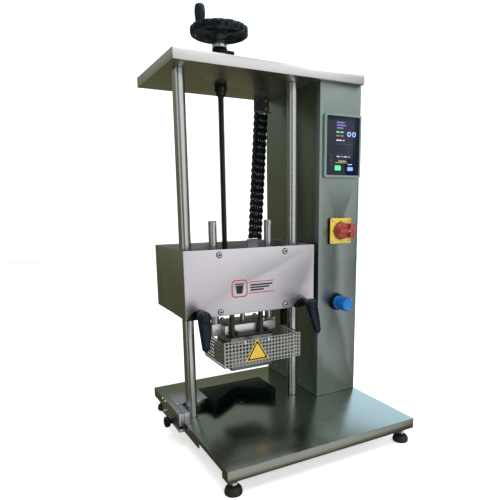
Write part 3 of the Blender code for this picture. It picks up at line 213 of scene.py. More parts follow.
# Each row is surface()'s arguments. A colour without # is one of SealerColours.
RECIPES = {
    # 304 stainless sheet, satin ground lengthways: soft streaks and a wide, silky highlight.
    "brushed_stainless_sheet": (METAL, "#b9bdbb", 0.07, (0.24, 0.36), LEVEL, 0.012),
    # 304 stainless sheet, fine ground and wiped with oil: darker, and near a mirror.
    "oiled_stainless_sheet": (METAL, "#969c92", 0.10, (0.17, 0.30), LEVEL, 0.006),
    # Fresh satin stainless: the brightest face, with close level lines.
    "satin_stainless_cover": (METAL, "#d4d2da", 0.06, (0.34, 0.46), LEVEL, 0.012),
    # Satin stainless ground along its height: lines run upright, and the tone is greener.
    "upright_ground_stainless": (METAL, "#8b9793", 0.10, (0.28, 0.40), UPRIGHT, 0.006),
    # Perforated stainless sheet: bright between the holes, where the punch leaves a polish.
    "perforated_stainless": (METAL, "#9da29f", 0.08, (0.20, 0.32), LEVEL, 0.008),
    # Hard chromed, centreless ground bar: a clear mirror with faint rings.
    "ground_chromed_bar": (METAL, "#c2c6c6", 0.05, (0.20, 0.28), (LINE, LINE, 0.4), 0.002),
    # Milled and clear anodised aluminium: pale, with shallow cutter lines.
    "milled_anodised_aluminium": (METAL, "#d8dada", 0.06, (0.28, 0.40), (LONG, 0.9, 0.9), 0.006),
    # Turned and milled aluminium that has been hot: greyer, with a dull bloom.
    "heated_aluminium_die": (METAL, "#7d837f", 0.12, (0.30, 0.46), (30, 0.8, 0.8), 0.012),
    # Zinc plated mild steel: a soft grey with cloudy patches.
    "zinc_plated_steel": (METAL, "#bcb9c4", 0.12, (0.24, 0.42), (2.5, 2.5, 2.5), 0.006),
    # Stainless fasteners: bright, with a slight tumble finish.
    "bright_fastener_steel": (METAL, "#c3c6c6", 0.06, (0.16, 0.26), (0.8, 0.8, 0.8), 0.006),
    # Blackened and oiled steel: a deep grey sheen.
    "blackened_steel": (METAL, "#3a3e3d", 0.15, (0.26, 0.40), (1.2, 1.2, 1.2), 0.006),
    # Turned bronze bushes: warm, with tool rings.
    "turned_bronze": (METAL, "#a98a52", 0.10, (0.22, 0.34), (4, 4, 0.5), 0.010),
    # Turned brass: yellow and bright.
    "turned_brass": (METAL, "#c8a552", 0.08, (0.18, 0.28), (4, 0.5, 4), 0.006),
    # Glass filled polyamide: blue black, eggshell gloss and a fine spark grain.
    "moulded_black_polyamide":
        (PLASTIC, "#070a0f", 0.20, (0.32, 0.44), (0.9, 0.9, 0.9), 0.020, 0.15),
    # Painted die cast frame: slate green, half glossy.
    "slate_painted_frame": (PLASTIC, "#6d837e", 0.10, (0.20, 0.28), (1.5, 1.5, 1.5), 0.008),
    # Polished phenolic: the glossy blue black of a moulded handwheel.
    "polished_black_phenolic": (PLASTIC, "#061420", 0.15, (0.14, 0.24), (2, 2, 2), 0.006, 0.24),
    # Milled black acetal: waxy black with cutter lines.
    "milled_black_acetal": (PLASTIC, "#02140e", 0.25, (0.22, 0.34), (25, 0.9, 0.9), 0.008, 0.06),
    # Moulded rubber: matt, slightly dusty.
    "moulded_rubber": (PLASTIC, "#1b1d1c", 0.25, (0.62, 0.80), (1.1, 1.1, 1.1), 0.040),
    # Pressed mica board: a dull charcoal with fine layers.
    "pressed_mica_board": (PLASTIC, "#26282a", 0.25, (0.50, 0.68), (12, 12, 0.8), 0.030),
    # Moulded yellow ABS: clean and half glossy.
    "yellow_abs": (PLASTIC, "plate", 0.08, (0.26, 0.36), (1, 1, 1), 0.012),
    # Moulded red ABS: clean and half glossy.
    "red_abs": (PLASTIC, "handle", 0.08, (0.26, 0.36), (1, 1, 1), 0.012),
    # Moulded blue polyamide: softer gloss, with a fine spark grain.
    "blue_polyamide": (PLASTIC, "knob", 0.08, (0.32, 0.44), (1, 1, 1), 0.020),
    # Chemically hardened glass over a dark display: clear, deep reflections.
    "dark_display_glass": (PLASTIC, "#071024", 0.10, (0.06, 0.10), (40, 40, 40), 0.001, 0.4),
    # Screen printed ink: flat black, and a brick red.
    "printed_black_ink": (PLASTIC, "#101112", 0.10, (0.40, 0.50), (1, 1, 1), 0.004),
    "printed_red_ink": (PLASTIC, "#a63a28", 0.08, (0.38, 0.48), (1, 1, 1), 0.004),
    # Yellow film laminate: smooth, with a soft shine.
    "yellow_film": (PLASTIC, "#dcb640", 0.06, (0.30, 0.38), (3, 3, 3), 0.004),
}

# Lit patches of the display, which glow a little: colour and strength.
LIT = {
    "display_white": ("#aebccf", 0.35),
    "display_blue": ("#7da0e8", 0.35),
    "display_cyan": ("#86a8ee", 0.45),
    "display_pink": ("#6a5f9e", 0.35),
    "display_green": ("#4fd08a", 0.4),
    "display_red": ("#b0574a", 0.3),
    "display_amber": ("#b0a070", 0.3),
    "display_grey": ("#3d4a55", 0.2),
}

MADE = {}


def finish(name):
    """A material, made by its recipe the first time that it is asked for."""
    if name not in MADE and name in LIT:
        code, strength = LIT[name]
        MADE[name] = blank(name, Base_Color=linear(code), Roughness=0.25,
                           Emission_Color=linear(code), Emission_Strength=strength)[0]
    elif name not in MADE:
        metallic, colour, *rest = RECIPES[name]
        if colour.startswith("#"):
            colour = linear(colour)
        else:
            colour = getattr(bpy.context.scene.sealer_colours, colour)
        MADE[name] = surface(name, metallic, colour, *rest)
    return MADE[name]


# ---------------------------------------------------------------- mesh tools
ALONG = {
    "X": Matrix.Rotation(QUARTER, 4, "Y"),
    "-X": Matrix.Rotation(-QUARTER, 4, "Y"),
    "Y": Matrix.Rotation(-QUARTER, 4, "X"),
    "-Y": Matrix.Rotation(QUARTER, 4, "X"),
    "Z": IDENTITY,
}


def mm(*points):
    """Points given in millimetres."""
    return [tuple(value * MM for value in point) for point in points]


def extent(node):
    """A CAD node's lowest corner, highest corner and middle."""
    low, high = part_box(node)
    return low, high, (low + high) / 2


def at(x, y, z, axis="Z"):
    """Places something modelled up Z so that it points along axis at a spot."""
    return Matrix.Translation((x, y, z)) @ ALONG[axis]


def shift(x, y=0.0, z=0.0):
    return Matrix.Translation((x, y, z))


def turned_by(angle):
    return Matrix.Rotation(angle, 4, "Z")


def grid(xs, ys):
    return [(x, y) for x in xs for y in ys]


def facing(direction, places):
    """The places as (place, facing) spots."""
    return [(place, direction) for place in places]


def band(bm, near, far):
    """Faces between two loops of as many points."""
    for step in range(len(near)):
        after = (step + 1) % len(near)
        bm.faces.new((near[step], near[after], far[after], far[step]))


def skin(bm, rings, heights, place=IDENTITY, closed=False):
    """Joins outlines of (x, y) points, one above another, and closes the ends."""
    loops = [[bm.verts.new(place @ Vector((x, y, z))) for x, y in points]
             for points, z in zip(rings, heights)]
    if closed:
        loops.append(loops[0])
    else:
        bm.faces.new(loops[0])
        bm.faces.new(loops[-1])
    for near, far in zip(loops, loops[1:]):
        band(bm, near, far)


def slab(bm, outline, low, high, place=IDENTITY):
    """Extrudes an outline of (x, y) points from low to high along Z."""
    skin(bm, (outline, outline), (low, high), place)


def brick(bm, low, high):
    corners = [(low[0], low[1]), (high[0], low[1]), (high[0], high[1]), (low[0], high[1])]
    slab(bm, corners, low[2], high[2])


def lathe(bm, profile, place=IDENTITY, sides=48, closed=False):
    """Turns (radius, height) points round Z; a point on the axis closes the end."""
    rings = []
    for radius, height in profile:
        if radius < 1e-6:
            rings.append([bm.verts.new(place @ Vector((0, 0, height)))])
        else:
            rings.append([bm.verts.new(place @ Vector((x, y, height)))
                          for x, y in ring_points(radius, sides)])
    pairs = list(zip(rings, rings[1:]))
    if closed:
        pairs.append((rings[-1], rings[0]))
    for low, high in pairs:
        for step in range(sides):
            after = (step + 1) % sides
            loop = (low[step % len(low)], low[after % len(low)],
                    high[after % len(high)], high[step % len(high)])
            corners = list(dict.fromkeys(loop))
            if len(corners) > 2:
                bm.faces.new(corners)
    if not closed:
        for ring in (rings[0], rings[-1]):
            if len(ring) > 1:
                bm.faces.new(ring)


def turned(profile, place=IDENTITY, sides=48, closed=False):
    """A new mesh turned round Z."""
    bm = bmesh.new()
    lathe(bm, profile, place, sides, closed)
    return bm


def extruded(outline, low, high, place=IDENTITY, edge=0.0, segments=2):
    """A new mesh extruded along Z, with its edges rounded."""
    bm = bmesh.new()
    slab(bm, outline, low, high, place)
    if edge:
        ease(bm, edge, segments)
    return bm


def join(bm, extra):
    """Adds one bmesh to another."""
    mesh = bpy.data.meshes.new("joined")
    extra.to_mesh(mesh)
    extra.free()
    bm.from_mesh(mesh)
    bpy.data.meshes.remove(mesh)


def ring_points(radius, count, start=0.0):
    turn = [start + 2 * math.pi * step / count for step in range(count)]
    return [(radius * math.cos(a), radius * math.sin(a)) for a in turn]


def rounded_box(width, height, radius, steps=6):
    """A rectangle about its middle, with round corners."""
    points = []
    for quarter, (sx, sy) in enumerate(((1, 1), (-1, 1), (-1, -1), (1, -1))):
        cx, cy = sx * (width / 2 - radius), sy * (height / 2 - radius)
        for step in range(steps + 1):
            angle = QUARTER * (quarter + step / steps)
            points.append((cx + radius * math.cos(angle), cy + radius * math.sin(angle)))
    return points


def round_triangle(width, radius=2 * MM):
    """An upright triangle about its middle, with round corners."""
    reach = width / math.sqrt(3) - 2 * radius
    points = []
    for corner in range(3):
        angle = QUARTER + 2 * math.pi / 3 * corner
        cx, cy = reach * math.cos(angle), reach * math.sin(angle)
        for step in range(-3, 4):
            turn = angle + math.radians(20) * step
            points.append((cx + radius * math.cos(turn), cy + radius * math.sin(turn)))
    return points


def fluted(radius, depth, count, steps=4):
    """A round outline with soft flutes."""
    points = []
    for angle in (2 * math.pi * step / (count * steps * 2) for step in range(count * steps * 2)):
        reach = radius - depth * ((1 + math.cos(angle * count)) / 2) ** 3
        points.append((reach * math.cos(angle), reach * math.sin(angle)))
    return points


def ease(bm, width, segments=2, angle=30):
    """Rounds every sharp edge."""
    bm.edges.ensure_lookup_table()
    bmesh.ops.recalc_face_normals(bm, faces=bm.faces)
    sharp = [e for e in bm.edges
             if len(e.link_faces) == 2 and e.calc_face_angle(0) > math.radians(angle)]
    bmesh.ops.bevel(bm, geom=sharp, offset=width, segments=segments, profile=0.5,
                    affect="EDGES", clamp_overlap=True)


def to_mesh(name, bm):
    """The bmesh as a mesh with its faces outwards."""
    bmesh.ops.recalc_face_normals(bm, faces=bm.faces)
    mesh = bpy.data.meshes.new(name)
    bm.to_mesh(mesh)
    bm.free()
    return mesh


def show(name, data):
    """Puts a new object with this data in the scene."""
    item = bpy.data.objects.new(name, data)
    bpy.context.scene.collection.objects.link(item)
    return item


def piece(name, bm, material, body="frame", replaces=(), edge=0.0, smooth=34):
    """Finishes a mesh: rounds its edges, gives it its material and ties it to its body."""
    if edge:
        ease(bm, edge)
    return settle(name, to_mesh(name, bm), material, body, replaces, smooth)


def settle(name, mesh, material, body, replaces, smooth=34):
    mesh.materials.clear()
    mesh.materials.append(finish(material))
    mesh.shade_smooth()
    mesh.set_sharp_from_angle(angle=math.radians(smooth))
    item = show(name, mesh)
    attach(item, body)
    if replaces:
        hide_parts(*replaces)
    return item


def dress(node, material, edge=None, segments=2, extra=None):
    """A joined-up copy of a CAD node with its edges broken, which stands for the node."""
    item = frame["nodes"][node]
    bm = bmesh.new()
    bm.from_mesh(item.data)
    bmesh.ops.remove_doubles(bm, verts=bm.verts, dist=0.01 * MM)
    bmesh.ops.dissolve_limit(bm, angle_limit=math.radians(0.5), verts=bm.verts, edges=bm.edges)
    ease(bm, sizes().edge if edge is None else edge, segments)
    if extra:
        extra(bm)
    return piece(node + "_finished", bm, material, item["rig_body"], (node,))


# ---------------------------------------------------------------- geometry nodes
def scatter_tree():
    """Puts a template on each point, turned to the point's facing, as real mesh."""
    if "Scatter" in bpy.data.node_groups:
        return bpy.data.node_groups["Scatter"]
    tree = bpy.data.node_groups.new("Scatter", "GeometryNodeTree")
    for name, kind in (("Geometry", "Geometry"), ("Template", "Object"), ("Finish", "Material"),
                       ("Weld", "Float")):
        tree.interface.new_socket(name, in_out="INPUT", socket_type="NodeSocket" + kind)
    tree.interface.new_socket("Geometry", in_out="OUTPUT", socket_type="NodeSocketGeometry")
    given = add(tree, "NodeGroupInput").outputs
    heading = add(tree, "GeometryNodeInputNamedAttribute", {"Name": "facing"},
                  data_type="FLOAT_VECTOR")
    turn = add(tree, "FunctionNodeAlignRotationToVector", {"Vector": heading.outputs[0]}, axis="Z")
    template = add(tree, "GeometryNodeObjectInfo", {"Object": given["Template"]})
    put = add(tree, "GeometryNodeInstanceOnPoints", {
        "Points": given["Geometry"], "Instance": template.outputs["Geometry"],
        "Rotation": turn.outputs[0]})
    real = add(tree, "GeometryNodeRealizeInstances", {"Geometry": put.outputs[0]})
    weld = add(tree, "GeometryNodeMergeByDistance",
               {"Geometry": real.outputs[0], "Distance": given["Weld"]})
    coat = add(tree, "GeometryNodeSetMaterial",
               {"Geometry": weld.outputs[0], "Material": given["Finish"]})
    add(tree, "NodeGroupOutput", {"Geometry": coat.outputs[0]})
    return tree


def scatter(name, bm, spots, material, body, weld=0.0, replaces=(), after=None):
    """Copies the template in bm to each (place, facing) spot and keeps the result as one mesh."""
    template = show(name + "_template", to_mesh(name + "_template", bm))
    points = bpy.data.meshes.new(name + "_points")
    points.from_pydata([place for place, _ in spots], [], [])
    heading = points.attributes.new("facing", "FLOAT_VECTOR", "POINT")
    for index, (_, direction) in enumerate(spots):
        heading.data[index].vector = direction
    holder = show(name + "_holder", points)
    modifier = holder.modifiers.new("Scatter", "NODES")
    modifier.node_group = scatter_tree()
    values = {"Template": template, "Finish": finish(material), "Weld": weld}
    for item in modifier.node_group.interface.items_tree:
        if item.in_out == "INPUT" and item.name in values:
            modifier[item.identifier] = values[item.name]
    depsgraph = bpy.context.evaluated_depsgraph_get()
    mesh = bpy.data.meshes.new_from_object(holder.evaluated_get(depsgraph))
    for item in (template, holder):
        bpy.data.objects.remove(item)
    if "facing" in mesh.attributes:
        mesh.attributes.remove(mesh.attributes["facing"])
    mesh.name = name
    if after:
        after(mesh)
    return settle(name, mesh, material, body, replaces)


def screw_head(radius, height, socket, washer):
    """A pan head on Z = 0 with a hexagon socket, a closed underside and perhaps a washer."""
    bm, low, sides = bmesh.new(), 0.0, 24
    if washer:
        bore, low = radius * 0.5, radius * 0.22
        lathe(bm, [(bore, 0), (washer, 0), (washer, low), (bore, low)], sides=sides, closed=True)
    crown = [(radius, low), (radius, low + height * 0.6), (radius * 0.94, low + height * 0.86),
             (radius * 0.78, low + height)]
    hexagon = []
    for angle in (2 * math.pi * step / sides for step in range(sides)):
        off_flat = (angle % (math.pi / 3)) - math.pi / 6
        reach = radius * socket * math.cos(math.pi / 6) / math.cos(off_flat)
        hexagon.append((reach * math.cos(angle), reach * math.sin(angle)))
    skin(bm, [ring_points(r, sides) for r, _ in crown] + [hexagon, hexagon],
         [z for _, z in crown] + [low + height, low + height * 0.35])
    return bm


def screws(name, spots, radius, height, body="frame", socket=0.5, washer=0.0,
           material="bright_fastener_steel"):
    """Screws at (place, facing) spots; radius, height and washer are in millimetres."""
    head = screw_head(radius * MM, height * MM, socket, washer * MM)
    scatter(name, head, spots, material, body)


# ---------------------------------------------------------------- pieces
def build_table():
    dress("base_plate", "oiled_stainless_sheet", sizes().bend, 3)
    low, high, _ = extent("base_plate")
    inset, bead, tall = 1.5 * MM, 1.3 * MM, 14 * MM
    for side, x in (("left", low.x + inset), ("right", high.x - inset)):
        bm = bmesh.new()
        for y in (low.y + inset, high.y - inset):
            lathe(bm, [(bead, low.z - 0.2 * MM), (bead, low.z + tall), (0, low.z + tall)],
                  at(x, y, 0), 12)
        piece("corner_weld_" + side, bm, "oiled_stainless_sheet")
    press = extent("piston_rod")[2]
    stud = turned(mm((0, 0.05), (3, 0.05), (2.8, 0.4), (0, 0.4)),
                  at(press.x, press.y + 14 * MM, high.z), 24)
    piece("centre_stud", stud, "bright_fastener_steel")


def build_columns():
    chamfer = 1 * MM
    for node in ("column_left", "column_right"):
        low, high, spot = extent(node)
        radius = (high.x - low.x) / 2
        bar = turned([(0, low.z), (radius - chamfer, low.z), (radius, low.z + chamfer),
                      (radius, high.z - chamfer), (radius - chamfer, high.z), (0, high.z)],
                     at(spot.x, spot.y, 0), 96)
        piece(node + "_finished", bar, "ground_chromed_bar", "frame", (node,))


def build_top_plate():
    dress("top_plate", "milled_anodised_aluminium", 0.8 * MM)
    seat = extent("top_plate")[1].z - 0.4 * MM
    columns = [extent("column_" + side)[2] for side in ("left", "right")]
    low, high, _ = extent("tower_shell")
    spindle, reach = extent("spindle_screw")[2], 34 * MM
    places = [(spot.x, spot.y) for spot in columns]
    places += grid((low.x + 18 * MM, high.x - 18 * MM), (low.y + 22 * MM, high.y - 22 * MM))
    places += grid((spindle.x - reach, spindle.x + reach), (spindle.y - reach, spindle.y + reach))
    screws("top_plate_screws", facing(UP, [(x, y, seat) for x, y in places]), 6.5, 3, socket=0.45)


def build_tower():
    dress("tower_shell", "upright_ground_stainless", 1.6 * MM, 3)
    dress("tower_rear_cover", "upright_ground_stainless", 0.6 * MM)
    dress("cable_gland", "moulded_black_polyamide", 0.5 * MM)
    dress("air_fitting", "turned_brass", 0.4 * MM)
    dress("power_supply", "zinc_plated_steel", 0.8 * MM)
    dress("press_valve", "milled_anodised_aluminium", 0.8 * MM)
    low, high, centre = extent("tower_rear_cover")
    inset, gaps = 8 * MM, 4
    rows = [low.z + inset + (high.z - low.z - 2 * inset) * step / gaps for step in range(gaps + 1)]
    spots = facing(BACK, [(x, high.y, z) for x in (low.x + inset, high.x - inset) for z in rows])
    shell_low, shell_high, _ = extent("tower_shell")
    spots += facing(LEFT, [(shell_low.x, y, shell_low.z + 18 * MM)
                           for y in (shell_low.y + 79 * MM, shell_high.y - 40 * MM)])
    screws("tower_screws", spots, 3.4, 1.8)
    # Vent slots on the rear cover: thin dark slabs, whose black is painted shade standing for the
    # dark openings.
    first, pitch = high.z - 60 * MM, 9 * MM
    slots = facing(BACK, [(centre.x, high.y + 0.05 * MM, first - pitch * row) for row in range(7)])
    slot = extruded(rounded_box(60 * MM, 3 * MM, 1.4 * MM), 0, 0.5 * MM)
    scatter("vent_louvres", slot, slots, "blackened_steel", "frame")


# Tiles of the display: left, top, width and height, in millimetres from its top left corner.
TILES = (
    ("display_title", "display_pink", ((27, 12, 22, 3.2), (27, 18, 26, 3.2), (27, 24, 18, 3.2))),
    ("display_green", "display_green", ((26, 33, 9, 3), (38, 33, 8, 3), (23, 108, 17, 11))),
    ("display_red", "display_red", ((26, 41, 9, 3), (38, 41, 8, 3))),
    ("display_amber", "display_amber", ((33, 97, 22, 2), (24, 101, 34, 1))),
    ("display_white", "display_white",
     ((26, 51, 16, 2.6), (45, 51, 4, 2.6), (28, 87, 9, 2.2), (41, 87, 3, 2.2), (48, 87, 10, 2.2),
      (62, 87, 3, 2.2), (60, 104, 12, 2))),
    ("display_blue", "display_blue", ((59, 111, 16, 8),)),
    ("display_grey", "display_grey",
     ((27, 60, 44, 0.8), (27, 83, 44, 0.6), (12, 84, 2, 6), (12, 94, 2, 6), (12, 104, 2, 6))),
)


def build_touch_panel():
    low, high, centre = extent("touch_panel")
    wide, tall = high.x - low.x, high.z - low.z
    glass_low, glass_high, _ = extent("touch_screen")
    glass_wide, glass_tall = glass_high.x - glass_low.x, glass_high.z - glass_low.z
    front = at(centre.x, low.y, centre.z, "-Y")
    rim, depth, recess, edge = 0.9 * MM, 5.6 * MM, 1.4 * MM, 6 * MM
    outer = rounded_box(wide, tall, 5 * MM)
    crest = rounded_box(wide - 2 * rim, tall - 2 * rim, 4.4 * MM)
    inner = rounded_box(glass_wide + 0.6 * MM, glass_tall + 0.6 * MM, 1.2 * MM)
    bm = bmesh.new()
    skin(bm, (outer, outer, crest, inner, inner), (-depth, -rim, 0, 0, -recess), front)
    brick(bm, (low.x + edge, low.y + 8.5 * MM, low.z + edge),
          (high.x - edge, high.y, high.z - edge))
    piece("touch_panel_finished", bm, "slate_painted_frame", "frame", ("touch_panel",))
    glass = extruded(rounded_box(glass_wide, glass_tall, 1 * MM), -1.2 * MM, -0.5 * MM, front)
    piece("display_glass", glass, "dark_display_glass", "frame", ("touch_screen",), edge=0.15 * MM)

    corner = front @ shift(-glass_wide / 2, glass_tall / 2)
    for name, material, tiles in TILES:
        bm = bmesh.new()
        for x, y, w, h in tiles:
            slab(bm, rounded_box(w * MM, h * MM, min(w, h) * MM * 0.2, 3), -0.5 * MM, -0.38 * MM,
                 corner @ shift((x + w / 2) * MM, -(y + h / 2) * MM))
        piece(name, bm, material)
    dials = bmesh.new()
    for x in (62, 76):
        lathe(dials, mm((3, -0.5), (5.6, -0.5), (5.6, -0.36), (3, -0.36)),
              corner @ shift(x * MM, -38 * MM), 32, closed=True)
    piece("display_dials", dials, "display_cyan")


def build_main_switch():
    low, high, centre = extent("switch_plate")
    knob_low, knob_high, dial = extent("switch_knob")
    wide, layer, radius = high.x - low.x, 1.8 * MM, (knob_high.x - knob_low.x) / 2
    front = at(centre.x, low.y, centre.z, "-Y")
    base = extruded(rounded_box(wide, wide, 3 * MM), low.y - high.y, -layer, front)
    piece("switch_plate_base", base, "moulded_black_polyamide", "frame", ("switch_plate",),
          edge=0.6 * MM)
    plate = extruded(rounded_box(wide - 1 * MM, wide - 1 * MM, 3 * MM), -layer, 0, front)
    piece("switch_plate_front", plate, "yellow_abs", edge=0.5 * MM)
    dress("switch_body", "moulded_black_polyamide", 0.8 * MM)
    marks = bmesh.new()
    for step in range(8):
        length = (1.6 if step % 2 else 3.4) * MM
        slab(marks, rounded_box(length, 1.1 * MM, 0.4 * MM, 2), 0, 0.1 * MM,
             front @ turned_by(math.pi / 4 * step) @ shift(radius + 3.2 * MM))
    near, far, thick = radius + 0.4 * MM, radius + 1.2 * MM, 0.12 * MM
    lathe(marks, [(near, 0), (far, 0), (far, thick), (near, thick)], front, 64, closed=True)
    piece("switch_marks", marks, "printed_black_ink")
    inset = 6 * MM
    corners = grid((low.x + inset, high.x - inset), (low.z + inset, high.z - inset))
    screws("switch_screws", facing(FRONT, [(x, low.y, z) for x, z in corners]), 2.3, 1.2,
           socket=0.45)

    skirt, face_y = 11.5 * MM, low.y - 0.3 * MM
    turn = at(dial.x, face_y, centre.z, "-Y")
    bm = turned([(0, 0), (radius, 0), (radius, skirt * 0.5), (radius - 1.2 * MM, skirt * 0.82),
                 (radius - 3.6 * MM, skirt), (0, skirt + 0.6 * MM)], turn, 64)
    top, waist, end, half = face_y - knob_low.y, 4.2 * MM, 6.4 * MM, radius - 1.6 * MM
    outline = [(half, end * 0.7), (half * 0.86, end), (half * 0.4, waist), (-half * 0.4, waist),
               (-half * 0.86, end), (-half, end * 0.7)]
    outline += [(x, -y) for x, y in reversed(outline)]
    join(bm, extruded(outline, skirt * 0.6, top, turn, 1.4 * MM, 3))
    piece("switch_handle", bm, "red_abs", "main_switch", ("switch_knob",), smooth=50)
    pointer = extruded(rounded_box(1.6 * MM, 9 * MM, 0.5 * MM, 3), top - 0.02 * MM, top,
                       turn @ turned_by(QUARTER) @ shift(0, -half * 0.45))
    piece("switch_pointer", pointer, "yellow_abs", "main_switch")
    wide, tall = 17 * MM, 34 * MM
    block = turn @ shift(radius * 0.82 + wide / 2)
    slide = extruded(rounded_box(wide, tall, 2 * MM, 3), 1 * MM, 15 * MM, block, 0.9 * MM)
    piece("switch_padlock_slide", slide, "red_abs", "main_switch")
    trim = bmesh.new()
    for x in (-4.5, 3.5):
        slab(trim, rounded_box(1.6 * MM, tall - 5 * MM, 0.7 * MM, 2), 14.9 * MM, 15.6 * MM,
             block @ shift(x * MM))
    piece("switch_slide_trim", trim, "bright_fastener_steel", "main_switch")


# Profile of the regulator's knob: share of its radius, share of its height, share of its flutes.
KNOB_LEVELS = (
    (0.86, 0, 0.0), (0.97, 0.02, 0.0), (0.99, 0.05, 0.3), (0.99, 0.14, 0.6), (0.86, 0.17, 0.2),
    (0.86, 0.22, 0.2), (1.0, 0.26, 1.0), (0.98, 0.80, 1.0), (0.94, 0.92, 0.7), (0.84, 0.985, 0.3),
    (0.70, 1.0, 0.0), (0.66, 0.985, 0.0), (0.30, 0.975, 0.0),
)


def build_regulator():
    low, high, spot = extent("regulator_nut")
    radius, deep = (high.x - low.x) / 2, high.y - low.y
    place, teeth, rim = at(spot.x, high.y, spot.z, "-Y"), 30, 0.8 * MM
    edge, side = fluted(radius - rim, 0.5 * MM, teeth, 2), fluted(radius, 0.9 * MM, teeth, 2)
    bore = ring_points(14.2 * MM, len(edge))
    bm = bmesh.new()
    skin(bm, (edge, side, side, edge, bore, bore), (0, rim, deep - rim, deep, deep, 0), place,
         closed=True)
    piece("regulator_nut_finished", bm, "moulded_black_polyamide", "frame", ("regulator_nut",))
    dress("regulator_body", "milled_anodised_aluminium", 0.8 * MM)

    knob_low, knob_high, _ = extent("regulator_knob")
    radius = (knob_high.x - knob_low.x) / 2
    base, top, flute = deep + 0.3 * MM, high.y - knob_low.y, 2.2 * MM
    bm = bmesh.new()
    skin(bm, [fluted(radius * share, flute * depth, 16) for share, _, depth in KNOB_LEVELS],
         [base + (top - base) * height for _, height, _ in KNOB_LEVELS], place)
    piece("regulator_knob_finished", bm, "blue_polyamide", "regulator", ("regulator_knob",),
          smooth=40)


def thread(spot, low, high, root, outer):
    """A screw thread: a strip of crests and roots that climbs a pitch each turn."""
    bm, pitch, steps = bmesh.new(), sizes().thread, 24
    shape = ((0.0, root), (0.30, root), (0.42, outer), (0.78, outer), (0.90, root))
    loops = []
    for turn in range(int((high - low) / pitch) + 1):
        for share, radius in shape:
            loops.append([
                bm.verts.new((spot.x + x, spot.y + y,
                              low + pitch * (turn + share + s / steps - 0.5)))
                for s, (x, y) in enumerate(ring_points(radius, steps))])
    for index in range(len(loops) - len(shape)):
        near, far = loops[index], loops[index + 1]
        for s in range(steps - 1):
            bm.faces.new((near[s], near[s + 1], far[s + 1], far[s]))
        if index + len(shape) + 1 < len(loops):
            seam, seam_far = loops[index + len(shape)], loops[index + len(shape) + 1]
            bm.faces.new((near[-1], seam[0], seam_far[0], far[-1]))
    bmesh.ops.holes_fill(bm, edges=[e for e in bm.edges if e.is_boundary], sides=0)
    return bm


def build_spindle():
    low, high, spot = extent("spindle_screw")
    outer = (high.x - low.x) / 2
    root, pitch, bevel = outer - 1.5 * MM, sizes().thread, 1 * MM
    start, stop = low.z + 3 * MM, extent("spindle_bearing")[0].z - 2 * MM
    bm = thread(spot, start, stop, root, outer)
    axis = at(spot.x, spot.y, 0)
    join(bm, turned([(0, low.z), (root - 0.6 * MM, low.z), (root, low.z + 0.6 * MM),
                     (root, start + pitch)], axis, 32))
    join(bm, turned([(root, stop - pitch), (outer, stop - pitch + bevel), (outer, high.z - bevel),
                     (outer - bevel, high.z), (0, high.z)], axis, 48))
    piece("lead_screw", bm, "blackened_steel", "spindle", ("spindle_screw",), smooth=40)
    dress("spindle_bearing", "blackened_steel", 0.5 * MM)

    cap_low, cap_high, _ = extent("bearing_cap")
    radius, tall, bore = (cap_high.x - cap_low.x) / 2, cap_high.z - cap_low.z, outer + 0.4 * MM
    rim = 0.6 * MM
    cap = turned([(bore, 0), (radius - rim, 0), (radius, rim), (radius, tall * 0.24),
                  (radius - rim, tall * 0.26), (radius * 0.84, tall * 0.27),
                  (radius * 0.82, tall * 0.9), (radius * 0.76, tall), (bore, tall)],
                 at(spot.x, spot.y, cap_low.z), 64, closed=True)
    piece("bearing_cap_finished", cap, "milled_anodised_aluminium", "frame", ("bearing_cap",))

    lock_low, lock_high, _ = extent("spindle_lock")
    radius, tall, reach = spot.x - lock_low.x, lock_high.z - lock_low.z, lock_high.x - spot.x
    place = at(spot.x, spot.y, lock_low.z)
    bm = turned([(bore, 0), (radius - bevel, 0), (radius, bevel), (radius, tall - bevel),
                 (radius - bevel, tall), (bore, tall)], place, 64, closed=True)
    tip = 4 * MM
    outline = [(radius - 3 * MM, -5.5 * MM), (reach - 5 * MM, -3.6 * MM)]
    outline += [(reach - tip + tip * math.cos(a), tip * math.sin(a))
                for a in (-1.2, -0.6, 0, 0.6, 1.2)]
    outline += [(reach - 5 * MM, 3.6 * MM), (radius - 3 * MM, 5.5 * MM)]
    join(bm, extruded(outline, 2 * MM, tall - 2 * MM, place, 1.2 * MM, 3))
    piece("lock_ring_finished", bm, "moulded_black_polyamide", "lock_ring", ("spindle_lock",),
          smooth=45)

    hub_low, hub_high, _ = extent("wheel_hub")
    radius, tall, bore = (hub_high.x - hub_low.x) / 2, hub_high.z - hub_low.z, outer + 0.3 * MM
    hub = turned([(bore, 0), (radius - bevel, 0), (radius, bevel), (radius, tall * 0.55),
                  (radius * 0.97, tall * 0.6), (radius * 0.8, tall * 0.66), (radius * 0.8, tall),
                  (bore, tall)], at(spot.x, spot.y, hub_low.z), 64, closed=True)
    piece("wheel_hub_finished", hub, "bright_fastener_steel", "spindle", ("wheel_hub",))
    angle, seat = math.radians(-50), radius * 0.985
    outwards = (math.cos(angle), math.sin(angle), 0)
    place = (spot.x + seat * outwards[0], spot.y + seat * outwards[1], hub_low.z + tall * 0.3)
    screws("hub_set_screw", [(place, outwards)], 2.6, 1.2, "spindle", 0.55,
           material="blackened_steel")


